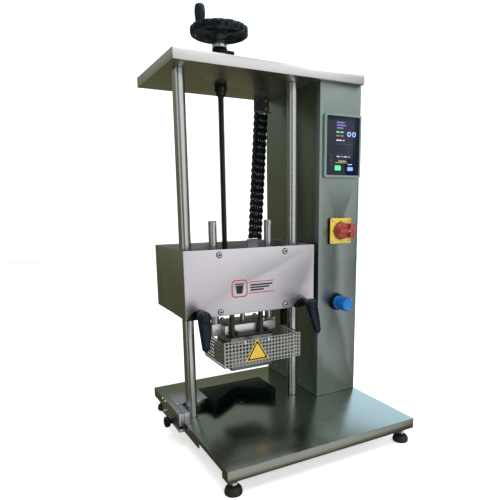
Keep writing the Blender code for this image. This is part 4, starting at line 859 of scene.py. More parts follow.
def build_handwheel():
    low, high, _ = extent("handwheel")
    crank_low, crank_high, crank = extent("crank_handle")
    spot, outer = extent("spindle_screw")[2], (high.x - low.x) / 2
    rim_low, rim_high = extent("wheel_hub")[1].z + 0.3 * MM, crank_low.z - 0.3 * MM
    tall = rim_high - rim_low
    flutes, flute, inner, web = 14, 2.6 * MM, outer - 12 * MM, tall - 6 * MM
    # The wheel's section, from the rim's foot up, over the web to the bore and back below.
    section = mm((-5, 0), (-2, 1.2), (0, 3.6))
    section = [(outer + r, z) for r, z in section]
    section += [(outer, tall - 3.2 * MM), (outer - 1.2 * MM, tall - 1 * MM), (outer - 4 * MM, tall),
                (inner + 1 * MM, tall - 1 * MM), (inner - 3 * MM, web + 1 * MM)]
    section += [(r, web + z) for r, z in mm((24, 0), (19, 2), (15, 2.6), (7.3, 2.6))]
    section += mm((7.3, 0), (17, 0), (19.5, 1.5))
    section += [(r, web + z) for r, z in mm((24, -6), (27, -4))]
    section += [(inner - 4 * MM, web - 4 * MM), (inner, web - 6 * MM), (inner + 1 * MM, 2 * MM),
                (inner + 3 * MM, 0)]
    bm, loops, around = bmesh.new(), [], flutes * 10
    for angle in (2 * math.pi * step / around for step in range(around)):
        dent = flute * max(0.0, math.cos(angle * flutes)) ** 2
        loop = [(r - dent if r > outer - 4.5 * MM else r, z) for r, z in section]
        loops.append([bm.verts.new((spot.x + r * math.cos(angle), spot.y + r * math.sin(angle),
                                    rim_low + z)) for r, z in loop])
    for near, far in zip(loops, loops[1:] + loops[:1]):
        band(bm, near, far)
    towards_crank = math.atan2(crank.y - spot.y, crank.x - spot.x)
    root, tip = 20 * MM, inner + 3 * MM
    rib = [(root, -9 * MM), (tip, -6 * MM), (tip, 6 * MM), (root, 9 * MM)]
    for number in range(3):
        lie = at(spot.x, spot.y, rim_low) @ turned_by(towards_crank + 2 * math.pi * number / 3)
        join(bm, extruded(rib, 2.5 * MM, web - 3 * MM, lie, 1.6 * MM, 3))
    crank_axis, seat = at(crank.x, crank.y, 0), rim_high - 0.1 * MM
    join(bm, turned([(0, rim_low + 5 * MM), (8 * MM, rim_low + 5 * MM), (9 * MM, rim_low + 7 * MM),
                     (9 * MM, rim_high - 0.8 * MM), (8.2 * MM, seat), (0, seat)], crank_axis, 40))
    piece("handwheel_finished", bm, "polished_black_phenolic", "spindle", ("handwheel",), smooth=50)

    bm = turned(mm((0, 0), (11, 0), (11, 1.2), (6.4, 1.4), (6, 3), (0, 3)),
                at(spot.x, spot.y, rim_low + web + 2.6 * MM), 40)
    pin, foot, top = 4 * MM, rim_high - 0.2 * MM, crank_high.z - 9 * MM
    join(bm, turned([(0, foot), (pin, foot), (pin, top), (0, top)], crank_axis, 24))
    piece("wheel_nut_and_pin", bm, "bright_fastener_steel", "spindle")

    grip, tall = (crank_high.x - crank_low.x) / 2, crank_high.z - crank_low.z
    bore, steps = 4.5 * MM, 20
    profile = [(0, 7 * MM), (bore, 7 * MM), (bore, 0)]
    for share in (step / steps for step in range(steps + 1)):
        swell = 0.78 + 0.22 * math.sin(math.pi * (0.15 + 0.7 * share)) ** 1.5
        crown = math.sqrt(max(0.0, 1 - max(0.0, (share - 0.82) / 0.18) ** 2))
        profile.append((grip * swell * (0.25 + 0.75 * crown), tall * (0.01 + 0.985 * share)))
    profile.append((0, tall))
    handle = turned(profile, at(crank.x, crank.y, crank_low.z), 48)
    piece("crank_handle_finished", handle, "polished_black_phenolic", "crank", ("crank_handle",),
          smooth=50)


def build_head():
    dress("head_cover", "satin_stainless_cover", 0.6 * MM)
    dress("head_shell", "brushed_stainless_sheet", 0.6 * MM)
    dress("carriage_plate", "milled_anodised_aluminium", 0.6 * MM, 1)
    dress("press_cylinder", "milled_anodised_aluminium", 1.5 * MM)
    dress("chain_foot_bracket", "zinc_plated_steel", 0.4 * MM, 1)
    dress("lead_nut", "turned_bronze", 0.5 * MM, 1)
    for side in ("left", "right"):
        dress("guide_bush_" + side, "turned_bronze", 0.4 * MM, 1)
        dress("column_clamp_" + side, "blackened_steel", 0.8 * MM)
    low, high, centre = extent("head_cover")
    spread = 79 * MM
    rows = (high.z - 11 * MM, low.z + 9.5 * MM)
    spots = facing(FRONT, [(x, low.y, z) for x in (centre.x - spread, centre.x + spread)
                           for z in rows])
    screws("head_cover_screws", spots, 5.4, 2.6, "head", 0.55)
    # Rubber washers under the cover screws, dark as painted shade: they stand for the shadow ring
    # round each head.
    ring = turned(mm((5, 0), (6.7, 0), (6.7, 0.7), (5, 0.7)), sides=32, closed=True)
    scatter("head_cover_washers", ring, spots, "moulded_rubber", "head")
    # A dark hexagon disc at the bottom of each screw's socket: painted shade in the recess.
    painted_socket_shade = extruded(ring_points(2.7 * MM, 6), 0.6 * MM, 1.1 * MM)
    scatter("head_cover_sockets", painted_socket_shade, spots, "blackened_steel", "head")
    low, high, _ = extent("press_cylinder")
    inset = 7 * MM
    corners = grid((low.x + inset, high.x - inset), (low.y + inset, high.y - inset))
    screws("cylinder_screws", facing(UP, [(x, y, high.z) for x, y in corners]), 4, 3.4, "head")
    build_emblem(at(centre.x, extent("head_cover")[0].y, centre.z, "-Y"))


def build_emblem(face):
    """A plain printed mark: a cup in a frame, and blank bars between two lines."""
    thick, side = 0.08 * MM, face @ shift(-34 * MM, -15 * MM)
    bm = bmesh.new()
    outer = rounded_box(38 * MM, 38 * MM, 9 * MM)
    inner = rounded_box(32.6 * MM, 32.6 * MM, 6.5 * MM)
    skin(bm, (outer, outer, inner, inner), (0, thick, thick, 0), side, closed=True)
    for z in (-3, -27):
        slab(bm, rounded_box(62 * MM, 2 * MM, 0.9 * MM, 2), 0, thick, face @ shift(19 * MM, z * MM))
    piece("emblem_frame", bm, "printed_red_ink", "head")
    bm = extruded(mm((-6.5, -11), (6.5, -11), (9.5, 7), (-9.5, 7)), 0, thick, side)
    slab(bm, rounded_box(23 * MM, 2.8 * MM, 1.3 * MM, 2), 0, thick, side @ shift(0, 10 * MM))
    for z, wide in ((-9.5, 56), (-15, 48), (-20.5, 34)):
        slab(bm, rounded_box(wide * MM, 3.6 * MM, 1.6 * MM, 2), 0, thick,
             face @ shift((-9 + wide / 2) * MM, z * MM))
    piece("emblem_cup", bm, "printed_black_ink", "head")


def build_clamp_levers():
    radius, reach, count, steps = 13.4 * MM, 74.5 * MM, 24, 12
    for side, lean in (("left", math.radians(2)), ("right", math.radians(15))):
        node, body = "clamp_lever_" + side, side + "_clamp_lever"
        joint = next(j for j in frame["joints"] if j["child"] == body)
        hub_x, cover_y, hub_z = joint["pos_m"]
        low, high, _ = extent(node)
        rear = cover_y - 3 * MM
        length, turn = rear - low.y, at(hub_x, rear, hub_z, "-Y")
        bm = turned([(0, 0), (8.6 * MM, 0), (9.2 * MM, 0.8 * MM), (9.8 * MM, length * 0.4),
                     (radius * 0.98, length * 0.62), (radius, length * 0.8),
                     (radius * 0.9, length * 0.94), (radius * 0.6, length), (0, length)], turn)
        arm, rings = bmesh.new(), []
        for share in (step / steps for step in range(steps + 1)):
            along = share * reach * 0.985
            tip = math.sqrt(max(0.0, 1 - (max(0.0, share - 0.9) / 0.105) ** 2))
            half, thick = (13.6 - 6.0 * share ** 1.3) * MM * tip, (8.6 - 3.4 * share) * MM * tip
            swing = -length * 0.72 - 1.5 * MM * math.sin(math.pi * share)
            ring = []
            for x, y in ring_points(1, count):
                u = half * math.copysign(abs(x) ** 0.8, x)
                v = thick * math.copysign(abs(y) ** 0.8, y)
                ring.append(arm.verts.new((
                    hub_x + u * math.cos(lean) + along * math.sin(lean), rear + swing + v,
                    hub_z + u * math.sin(lean) - along * math.cos(lean))))
            rings.append(ring)
        for near, far in zip(rings, rings[1:]):
            band(arm, near, far)
        arm.faces.new(rings[0])
        arm.faces.new(rings[-1])
        join(bm, arm)
        piece(node + "_finished", bm, "polished_black_phenolic", body, (node,), smooth=60)
        shank, end = 5 * MM, rear - high.y
        screw = turned([(0, 0), (6.8 * MM, 0), (6.8 * MM, -7.4 * MM), (shank, -7.6 * MM),
                        (shank, end), (0, end)], turn, 32)
        join(screw, turned([(0, length - 1 * MM), (5.4 * MM, length - 1 * MM),
                            (5.2 * MM, length - 0.1 * MM), (0, length)], turn, 32))
        piece(node + "_screw", screw, "bright_fastener_steel", body)


def build_press():
    dress("piston_rod", "ground_chromed_bar", 0.4 * MM, 1)
    dress("mounting_bar", "milled_anodised_aluminium", 0.7 * MM)
    bar_low, bar_high, _ = extent("mounting_bar")
    ledge_top = bar_low.z - 0.25 * MM

    def split(bm):
        """Cuts the tool plate level with its ledge, where the black stroke rods start."""
        everything = bm.verts[:] + bm.edges[:] + bm.faces[:]
        bmesh.ops.bisect_plane(bm, geom=everything, plane_co=(0, 0, ledge_top), plane_no=UP)

    plate = dress("tool_plate", "milled_anodised_aluminium", 0.6 * MM, extra=split)
    plate.data.materials.append(finish("blackened_steel"))
    for face in plate.data.polygons:
        face.material_index = int(face.center.z > ledge_top)
    dress("insulation_block", "pressed_mica_board", 0.6 * MM)
    dress("heater_block", "heated_aluminium_die", 0.8 * MM)
    dress("sealing_die", "heated_aluminium_die", 1.0 * MM)
    block_spots, block_z = [], bar_low.z + 13 * MM
    for side, sign in (("left", -1), ("right", 1)):
        node = "guide_rod_" + side
        low, high, spot = extent(node)
        radius, top, bore, deep = (high.x - low.x) / 2, high.z, 3 * MM, 6 * MM
        rod = turned([(0, low.z), (radius - 1 * MM, low.z), (radius, low.z + 1 * MM),
                      (radius, top - 1.4 * MM), (radius - 1.4 * MM, top), (bore, top),
                      (bore, top - deep), (0, top - deep)], at(spot.x, spot.y, 0), 64)
        piece(node + "_finished", rod, "ground_chromed_bar", "press", (node,))
        place = (spot.x, low.y + 0.6 * MM, top - 7 * MM)
        screws("rod_screw_" + side, [(place, FRONT)], 4.2, 2.2, "press", 0.6)
        block_spots += [((spot.x, spot.y - 12 * MM, block_z), FRONT),
                        ((spot.x + sign * 12 * MM, spot.y, block_z), (sign, 0, 0))]
    screws("rod_block_screws", block_spots, 3.2, 2.2, "press")
    press, deck = extent("piston_rod")[2], bar_high.z - 0.2 * MM
    places = [(press.x + x * MM, press.y + y * MM, deck) for x, y in grid((-42, 42), (-22, 22))]
    screws("mounting_screws", facing(UP, places), 5, 6, "press")
    ledge_y, plate_top = extent("tool_plate")[0].y + 7 * MM, bar_low.z + 6.7 * MM
    screws("clamp_screws", facing(UP, [(press.x + x * MM, ledge_y, plate_top) for x in (-36, 40)]),
           4.6, 6.5, "press", washer=6.5, material="blackened_steel")
    low, high, centre = extent("heater_block")
    ends = [((x, y, centre.z), direction) for x, direction in ((low.x, LEFT), (high.x, RIGHT))
            for y in (low.y + 28 * MM, high.y - 28 * MM)]
    cartridge = turned(mm((0, 0), (5, 0), (5, 0.8), (4.2, 1.2), (2.4, 1.2), (2.4, 5), (0, 5)),
                       sides=24)
    scatter("heater_cartridges", cartridge, ends, "bright_fastener_steel", "press")


def guard_cell(pitch, radius):
    """A flat square cell with a round hole."""
    cell, sides, half = bmesh.new(), 16, pitch / 2
    hole = [cell.verts.new((x, y, 0)) for x, y in ring_points(radius, sides, math.pi / sides)]
    rim = []
    for x, y in ring_points(half, sides, math.pi / sides):
        stretch = half / max(abs(x), abs(y))
        rim.append(cell.verts.new((x * stretch, y * stretch, 0)))
    band(cell, hole, rim)
    for step in range(4):
        a, b = rim[(step * 4 + 1) % sides], rim[(step * 4 + 2) % sides]
        x, y = math.copysign(half, a.co.x + b.co.x), math.copysign(half, a.co.y + b.co.y)
        cell.faces.new((a, cell.verts.new((x, y, 0)), b))
    return cell


def build_guard():
    """A perforated sheet bent round the hot tool: flat cells with a hole, then a thickness."""
    low, high, _ = extent("guard")
    pitch, sheet, near = sizes().pitch, 1.5 * MM, 0.05 * MM
    front, back = low.y + sheet / 2, high.y
    left, right = low.x + sheet / 2, high.x - sheet / 2
    rows, columns, deep = [
        int(size / pitch) for size in (high.z - low.z, right - left, back - front)]
    margin_z = (high.z - low.z - rows * pitch) / 2
    margin_x = (right - left - columns * pitch) / 2
    margin_y = (back - front - deep * pitch) / 2
    spots = []
    for z in (low.z + margin_z + pitch * (row + 0.5) for row in range(rows)):
        spots += facing(FRONT, [(left + margin_x + pitch * (column + 0.5), front, z)
                                for column in range(columns)])
        for y in (front + margin_y + pitch * (column + 0.5) for column in range(deep)):
            spots += [((left, y, z), LEFT), ((right, y, z), RIGHT)]

    def thicken(mesh):
        """Adds the sheet's plain margins, welds it and gives it its thickness."""
        bm = bmesh.new()
        bm.from_mesh(mesh)
        bottom, top = low.z + margin_z, high.z - margin_z
        sides = [((left, front), (left + margin_x, front), bottom, top),
                 ((right - margin_x, front), (right, front), bottom, top)]
        for x in (left, right):
            sides += [((x, front), (x, front + margin_y), bottom, top),
                      ((x, back - margin_y), (x, back), bottom, top)]
        for start, end in (((left, front), (right, front)), ((left, front), (left, back)),
                           ((right, front), (right, back))):
            sides += [(start, end, low.z, bottom), (start, end, top, high.z)]
        for start, end, z0, z1 in sides:
            corners = ((*start, z0), (*end, z0), (*end, z1), (*start, z1))
            bm.faces.new([bm.verts.new(corner) for corner in corners])
        bmesh.ops.remove_doubles(bm, verts=bm.verts, dist=0.02 * MM)
        inside = Vector(((left + right) / 2, (front + back) / 2 + 0.02, 0))
        for face in bm.faces:
            inward = inside - face.calc_center_median()
            if face.normal.x * inward.x + face.normal.y * inward.y > 0:
                face.normal_flip()
        made = bmesh.ops.extrude_face_region(bm, geom=bm.faces[:])
        for vert in (v for v in made["geom"] if isinstance(v, bmesh.types.BMVert)):
            vert.co += Vector((
                sheet * ((abs(vert.co.x - left) < near) - (abs(vert.co.x - right) < near)),
                sheet * (abs(vert.co.y - front) < near), 0))
        middle, reach = (left + right) / 2, (right - left) * 0.49
        for vert in bm.verts:
            vert.co.y = min(vert.co.y - sheet / 2, back)
            if abs(vert.co.x - middle) > reach:
                vert.co.x += math.copysign(sheet / 2, vert.co.x - middle)
        bmesh.ops.recalc_face_normals(bm, faces=bm.faces)
        bm.to_mesh(mesh)
        bm.free()

    scatter("guard_finished", guard_cell(pitch, sizes().hole / 2), spots, "perforated_stainless",
            "press", weld=0.02 * MM, replaces=("guard",), after=thicken)
    press_x, pins = extent("piston_rod")[2].x, bmesh.new()
    for x in (press_x - 29 * MM, press_x + 29 * MM):
        lathe(pins, mm((0, -1.6), (3.2, -1.6), (3.8, -0.9), (3.8, 0), (2.5, 0.1), (2.5, 22.6),
                       (0, 22.6)), at(x, low.y, high.z - 6 * MM, "Y"), 32)
    piece("guard_pins", pins, "bright_fastener_steel", "press")
    face = at(press_x, low.y - 0.05 * MM, low.z + 24 * MM, "-Y")
    for name, width, lift, material in (("sign_edge", 57, 0.6, "yellow_film"),
                                        ("sign_border", 51, 0.7, "printed_black_ink"),
                                        ("sign_field", 40.5, 0.8, "yellow_film")):
        piece(name, extruded(round_triangle(width * MM), 0, lift * MM, face), material, "press")


def build_conduit():
    """The heater's leads, in a corrugated conduit."""
    low, high, spot = extent("heater_cable")
    radius, tall = (high.x - low.x) / 2, high.z - low.z
    root, ribs = radius * 0.84, int(tall / (3 * MM))
    step, profile = tall / ribs, [(0, 0)]
    for z in (tall * rib / ribs for rib in range(ribs)):
        profile += [(root, z), (radius * 0.86, z + step * 0.2), (radius * 0.98, z + step * 0.35),
                    (radius * 0.98, z + step * 0.7), (radius * 0.86, z + step * 0.85)]
    profile += [(root, tall), (0, tall)]
    piece("heater_conduit", turned(profile, at(spot.x, spot.y, low.z), 28),
          "moulded_black_polyamide", "press", ("heater_cable",), smooth=50)


def chain_link(step):
    """Two side plates with a rivet each, and two cross bars."""
    link, half_x, half_y = bmesh.new(), 15 * MM, 10 * MM
    thick, eye = 3.2 * MM, 1.6 * MM
    edge = ((0.02, 0.72), (0.12, 1.0), (0.62, 1.0), (0.70, 0.66), (0.98, 0.66))
    outline = [(half_y * y, step * z) for z, y in edge]
    outline += [(-y, z) for y, z in reversed(outline)]
    for side in (-1, 1):
        stand = Matrix(((0, 0, 1, side * (half_x - eye) - eye), (1, 0, 0, 0), (0, 1, 0, 0),
                        (0, 0, 0, 1)))
        join(link, extruded(outline, 0, thick, stand, 0.5 * MM, 1))
        place = at(side * (half_x - 0.7 * MM), 0, step * 0.84, "X") @ Matrix.Scale(side, 4, UP)
        join(link, turned(mm((0, 0), (3.2, 0), (3.2, 0.5), (2.4, 0.9), (0, 0.9)), place, 16))
    wide, deep = half_x - 2 * MM, 2.4 * MM
    for low, high in ((-half_y, deep - half_y), (half_y - deep, half_y)):
        bar = bmesh.new()
        brick(bar, (-wide, low, step * 0.2), (wide, high, step * 0.58))
        ease(bar, 0.5 * MM, 1)
        join(link, bar)
    return link


def build_chain():
    """Links along the line from the head's bracket to the top plate's."""
    low, high, _ = extent("energy_chain")
    verts = [v.co for v in frame["nodes"]["energy_chain"].data.vertices]
    ends = ([v for v in verts if v.z < low.z + 1 * MM], [v for v in verts if v.z > high.z - 1 * MM])
    foot, top = [sum(end, Vector()) / len(end) for end in ends]
    run, count = top - foot, sizes().links
    step, direction = run.length / count, run.normalized()
    spots = [((foot + direction * step * n)[:], direction[:]) for n in range(count)]
    chain = scatter("energy_chain_links", chain_link(step), spots, "moulded_black_polyamide",
                    "frame", replaces=("energy_chain",))
    leads, radius = bmesh.new(), 2.6 * MM
    turn = direction.to_track_quat("Z", "Y").to_matrix().to_4x4()
    for x in (-6 * MM, 0, 6 * MM):
        start, stop = foot + Vector((x, 0, 2 * MM)), top + Vector((x, 0, -2 * MM))
        length = (stop - start).length
        lathe(leads, [(0, 0), (radius, 0), (radius, length), (0, length)], shift(*start) @ turn, 12)
    wires = piece("chain_leads", leads, "moulded_rubber")
    for item in (chain, wires):
        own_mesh(item)
    dress("chain_top_bracket", "zinc_plated_steel", 0.5 * MM, 1)
    low, high, _ = extent("chain_top_bracket")
    x, y = high.x - 8 * MM, high.y - 4 * MM
    screws("chain_bracket_screws",
           facing(FRONT, [(x, y, z) for z in (low.z + 12 * MM, high.z - 10 * MM)]), 3, 2)


def build_cup_stop():
    dress("vee_block", "milled_black_acetal", 0.8 * MM)
    for node in ("slide_bar", "vee_link", "guide_block"):
        dress(node, "zinc_plated_steel", 0.6 * MM)
    low, high, _ = extent("vee_link")
    spots = facing(UP, [(low.x + x * MM, high.y - 12 * MM, high.z - 0.2 * MM) for x in (12, 42)])
    low, high, _ = extent("slide_bar")
    spots += facing(LEFT, [(low.x, high.y - y * MM, high.z - z * MM)
                           for y, z in ((5, 5), (25, 5), (18, 31))])
    screws("cup_stop_screws", spots, 3.6, 2.6, "cup_stop")
    bar = low.x
    low, high, centre = extent("guide_block")
    screws("guide_screws", facing(UP, [(centre.x, y, high.z - 0.2 * MM)
                                       for y in (low.y + 10 * MM, high.y - 10 * MM)]), 3.4, 1.6)

    low, high, spot = extent("star_knob")
    radius, neck, head = (high.z - low.z) / 2, 8 * MM, 11 * MM
    turn = at(bar - 0.3 * MM, spot.y, spot.z, "-X")
    levels = ((5.4 * MM, 0, 0), (5.6 * MM, neck * 0.8, 0), (radius * 0.8, neck, 0.3),
              (radius, neck + 2 * MM, 1), (radius, neck + head * 0.7, 1),
              (radius * 0.88, neck + head * 0.93, 0.6), (radius * 0.5, neck + head, 0))
    bm = bmesh.new()
    skin(bm, [fluted(r, 2.8 * MM * depth, 7, 8) for r, _, depth in levels],
         [z for _, z, _ in levels], turn)
    piece("star_knob_finished", bm, "moulded_black_polyamide", "stop_knob", ("star_knob",),
          smooth=50)
    tip = bar - high.x
    stud = turned([(0, 0.2 * MM), (3 * MM, 0.2 * MM), (3 * MM, tip + 0.8 * MM),
                   (2.4 * MM, tip + 0.1 * MM), (0, tip + 0.1 * MM)], turn, 24)
    piece("star_knob_stud", stud, "bright_fastener_steel", "stop_knob")


def build_feet():
    pad, stem, pitch = 18 * MM, 5 * MM, 1.6 * MM
    for number, name in enumerate(("front_left", "front_right", "back_left", "back_right"), 1):
        low, high, spot = extent("foot_" + name)
        radius, length, body = (high.x - low.x) / 2, high.z - low.z, f"foot_{number}"
        place = at(spot.x, spot.y, low.z)
        profile = [(0, 0), (radius * 0.9, 0), (radius * 0.97, 0.6 * MM), (radius, 2 * MM),
                   (radius, 5 * MM)]
        for angle in (QUARTER * step / 9 for step in range(1, 9)):
            profile.append((radius * (0.36 + 0.64 * math.cos(angle)),
                            5 * MM + (pad - 6 * MM) * math.sin(angle)))
        profile += [(radius * 0.36, pad - 0.6 * MM), (radius * 0.3, pad), (0, pad)]
        piece(f"foot_{name}_pad", turned(profile, place, 56), "moulded_rubber", body,
              ("foot_" + name,), smooth=50)
        profile = [(0, pad - 2 * MM), (stem, pad - 2 * MM)]
        for z in (pad + pitch * turn for turn in range(int((length - pad) / pitch))):
            profile += [(stem * 0.84, z + 0.2 * MM), (stem, z + 0.8 * MM), (stem, z + 1.0 * MM)]
        profile += [(stem * 0.84, length), (0, length)]
        bm = turned(profile, place, 24)
        nut = mm((5, 0.4), (8.2, 0.4), (8.6, 1), (8.6, 5), (8.2, 5.6), (5, 5.6))
        join(bm, turned([(r, pad + z) for r, z in nut], place, 6, closed=True))
        piece(f"foot_{name}_stem", bm, "bright_fastener_steel", body, smooth=30)


# ---------------------------------------------------------------- stage
def build_world():
    """A pale room, with the dim olive walls of a workshop in what the metal mirrors."""
    world = bpy.data.worlds.new("soft_studio")
    bpy.context.scene.world = world
    world.use_nodes = True
    tree = world.node_tree
    direction = add(tree, "ShaderNodeTexCoord").outputs["Generated"]
    height = add(tree, "ShaderNodeSeparateXYZ", {0: direction}).outputs["Z"]
    share = add(tree, "ShaderNodeMapRange", {"Value": height, "From Min": -0.6, "From Max": 0.9})
    walls = add(tree, "ShaderNodeValToRGB", {"Fac": share.outputs[0]})
    stops = ((0.0, "#55513a"), (0.32, "#605f49"), (0.46, "#78765c"), (0.62, "#8f978a"),
             (1.0, "#b6c0c2"))
    while len(walls.color_ramp.elements) < len(stops):
        walls.color_ramp.elements.new(0.5)
    for element, (position, code) in zip(walls.color_ramp.elements, stops):
        element.position, element.color = position, linear(code)
    seen = add(tree, "ShaderNodeLightPath").outputs["Is Camera Ray"]
    mix = add(tree, "ShaderNodeMix", {"Factor": seen, 6: walls.outputs[0], 7: linear("#ffffff")},
              data_type="RGBA")
    tree.links.new(mix.outputs[2], tree.nodes["Background"].inputs["Color"])


# Soft lights: place, aim, width and height, watts and tint.
SOFTBOXES = {
    "front_softbox": ((1.5, -2.6, 0.2), (1.2, 0, 0.2), (4.4, 4.2), 50, "#fdf9ff"),
    "top_softbox": ((-0.3, -1.1, 2.6), (0, 0, 0.4), (1.4, 1.4), 26, "#ffffff"),
    "left_softbox": ((-2.8, -1.8, 0.6), (0, 0, 0.4), (1.3, 3.0), 9, "#efe8ff"),
    "bend_softbox": ((1.6, -1.0, 2.2), (0.1, -0.2, 0.1), (0.9, 0.9), 14, "#ffffff"),
    "rear_softbox": ((3.5, 2.2, 1.3), (0.2, 0, 0.2), (2.4, 2.4), 32, "#c2e0ff"),
}


def build_floor():
    """A pale floor that curves up into a wall behind; reflections don't see it."""
    bm, half_width, ground = bmesh.new(), 9, CAD_BOX[0].z
    front, bend_start, bend, wall_top, steps = -6, 3.4, 1.6, 7, 12
    outline = [(front, 0), (bend_start, 0)]
    for angle in (QUARTER * (step / steps - 1) for step in range(steps + 1)):
        outline.append((bend_start + bend * math.cos(angle), bend + bend * math.sin(angle)))
    outline.append((bend_start + bend, wall_top))
    turn = Matrix.Rotation(math.radians(-25), 3, "Z")
    left, right = [[bm.verts.new(turn @ Vector((x, y, ground + z))) for y, z in outline]
                   for x in (-half_width, half_width)]
    for step in range(len(outline) - 1):
        bm.faces.new((left[step], right[step], right[step + 1], left[step + 1]))
    floor = show("studio_floor", to_mesh("studio_floor", bm))
    floor.data.materials.append(blank(
        "pale_studio_floor", Base_Color=linear("#f6f6f5"), Roughness=0.7,
        Emission_Color=linear("#ffffff"), Emission_Strength=0.6)[0])
    floor.data.shade_smooth()
    floor.visible_glossy = False


def build_stage():
    build_floor()
    build_world()
    for name, (place, aim, (wide, tall), power, tint) in SOFTBOXES.items():
        light = bpy.data.lights.new(name, "AREA")
        light.shape, light.size, light.size_y = "RECTANGLE", wide, tall
        light.energy, light.color = power, linear(tint)[:3]
        lamp = show(name, light)
        lamp.location = place
        lamp.rotation_euler = (Vector(aim) - Vector(place)).to_track_quat("-Z", "Y").to_euler()

    # A dark cloth that only mirrors see, which takes the glare off the tower's front.
    cloth = extruded(rounded_box(2.4, 1.3, 0.2), -0.004, 0.004, at(3.1, -2.4, -0.1, "Y"))
    flag = show("tower_flag", to_mesh("tower_flag", cloth))
    flag.data.materials.append(blank("flag_cloth", Base_Color=linear("#59666b"), Roughness=0.9)[0])
    flag.visible_camera = flag.visible_shadow = flag.visible_diffuse = False

    data = bpy.data.cameras.new("camera")
    data.lens, data.sensor_width, data.clip_end = 34.91, 36, 60
    data.shift_x, data.shift_y = -0.0443, 0.095
    camera = show("camera", data)
    heading, tilt, roll = math.radians(-28.94), math.radians(90 - 11.012), math.radians(-0.387)
    aim = turned_by(heading) @ Matrix.Rotation(tilt, 4, "X") @ turned_by(roll)
    camera.matrix_world = shift(-0.51805, -0.96245, 0.5264) @ aim
    scene = bpy.context.scene
    scene.camera = camera
    scene.view_settings.view_transform = "Standard"
    scene.view_settings.look = "None"


# ---------------------------------------------------------------- operators
class BuildStage(bpy.types.Operator):
    """Floor, soft lights and camera"""

    bl_idname = "sealer.stage"
    bl_label = "Stage"

    def execute(self, context):
        build_stage()
        return {"FINISHED"}


class BuildTable(bpy.types.Operator):
    """Folded table"""

    bl_idname = "sealer.table"
    bl_label = "Table"

    def execute(self, context):
        build_table()
        return {"FINISHED"}


class BuildColumns(bpy.types.Operator):
    """Two ground columns"""

    bl_idname = "sealer.columns"
    bl_label = "Columns"

    def execute(self, context):
        build_columns()
        return {"FINISHED"}


class BuildTopPlate(bpy.types.Operator):
    """Top plate and its screws"""

    bl_idname = "sealer.top_plate"
    bl_label = "Top plate"

    def execute(self, context):
        build_top_plate()
        return {"FINISHED"}


class BuildTower(bpy.types.Operator):
    """Control tower, its rear cover and what it holds"""

    bl_idname = "sealer.tower"
    bl_label = "Control tower"

    def execute(self, context):
        build_tower()
        return {"FINISHED"}


class BuildTouchPanel(bpy.types.Operator):
    """Touch panel with a plain layout"""

    bl_idname = "sealer.touch_panel"
    bl_label = "Touch panel"

    def execute(self, context):
        build_touch_panel()
        return {"FINISHED"}


class BuildMainSwitch(bpy.types.Operator):
    """Main switch"""

    bl_idname = "sealer.main_switch"
    bl_label = "Main switch"

    def execute(self, context):
        build_main_switch()
        return {"FINISHED"}


class BuildRegulator(bpy.types.Operator):
    """Pressure regulator and its knob"""

    bl_idname = "sealer.regulator"
    bl_label = "Regulator"

    def execute(self, context):
        build_regulator()
        return {"FINISHED"}


class BuildSpindle(bpy.types.Operator):
    """Lead screw, bearing, lock ring and hub"""

    bl_idname = "sealer.spindle"
    bl_label = "Spindle"

    def execute(self, context):
        build_spindle()
        return {"FINISHED"}


class BuildHandwheel(bpy.types.Operator):
    """Handwheel and crank handle"""

    bl_idname = "sealer.handwheel"
    bl_label = "Handwheel"

    def execute(self, context):
        build_handwheel()
        return {"FINISHED"}


class BuildHead(bpy.types.Operator):
    """Head box, carriage and emblem"""

    bl_idname = "sealer.head"
    bl_label = "Head"

    def execute(self, context):
        build_head()
        return {"FINISHED"}


class BuildClampLevers(bpy.types.Operator):
    """Column clamp levers"""

    bl_idname = "sealer.clamp_levers"
    bl_label = "Clamp levers"

    def execute(self, context):
        build_clamp_levers()
        return {"FINISHED"}


class BuildPress(bpy.types.Operator):
    """Guide rods, mounting bar and hot tool"""

    bl_idname = "sealer.press"
    bl_label = "Press"

    def execute(self, context):
        build_press()
        return {"FINISHED"}


class BuildGuard(bpy.types.Operator):
    """Perforated guard and its sign"""

    bl_idname = "sealer.guard"
    bl_label = "Guard"

    def execute(self, context):
        build_guard()
        return {"FINISHED"}


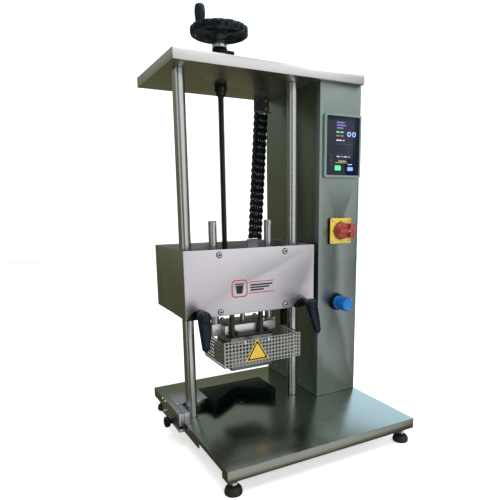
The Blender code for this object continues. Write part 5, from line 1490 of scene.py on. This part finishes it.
class BuildConduit(bpy.types.Operator):
    """Heater conduit"""

    bl_idname = "sealer.conduit"
    bl_label = "Conduit"

    def execute(self, context):
        build_conduit()
        return {"FINISHED"}


class BuildChain(bpy.types.Operator):
    """Energy chain and its brackets"""

    bl_idname = "sealer.chain"
    bl_label = "Energy chain"

    def execute(self, context):
        build_chain()
        return {"FINISHED"}


class BuildCupStop(bpy.types.Operator):
    """Vee block, slide and star knob"""

    bl_idname = "sealer.cup_stop"
    bl_label = "Cup stop"

    def execute(self, context):
        build_cup_stop()
        return {"FINISHED"}


class BuildFeet(bpy.types.Operator):
    """Levelling feet"""

    bl_idname = "sealer.feet"
    bl_label = "Feet"

    def execute(self, context):
        build_feet()
        return {"FINISHED"}


OPERATORS = (
    BuildStage, BuildTable, BuildColumns, BuildTopPlate, BuildTower, BuildTouchPanel,
    BuildMainSwitch, BuildRegulator, BuildSpindle, BuildHandwheel, BuildHead, BuildClampLevers,
    BuildPress, BuildGuard, BuildConduit, BuildChain, BuildCupStop, BuildFeet,
)


class SealerPanel(bpy.types.Panel):
    """Lists the machine's pieces"""

    bl_idname = "VIEW3D_PT_sealer"
    bl_label = "Cup Sealer"
    bl_space_type = "VIEW_3D"
    bl_region_type = "UI"
    bl_category = "Cup Sealer"

    def draw(self, context):
        for group in (context.scene.sealer_sizes, context.scene.sealer_colours):
            for name in group.__annotations__:
                self.layout.prop(group, name)
        for operator in OPERATORS:
            self.layout.operator(operator.bl_idname)


CLASSES = (SealerSizes, SealerColours, *OPERATORS, SealerPanel)


def register():
    for item in CLASSES:
        bpy.utils.register_class(item)
    bpy.types.Scene.sealer_sizes = bpy.props.PointerProperty(type=SealerSizes)
    bpy.types.Scene.sealer_colours = bpy.props.PointerProperty(type=SealerColours)


def unregister():
    del bpy.types.Scene.sealer_colours
    del bpy.types.Scene.sealer_sizes
    for item in reversed(CLASSES):
        bpy.utils.unregister_class(item)


def main():
    register()
    for operator in OPERATORS:
        group, name = operator.bl_idname.split(".")
        getattr(getattr(bpy.ops, group), name)()


if __name__ == "__main__":
    main()
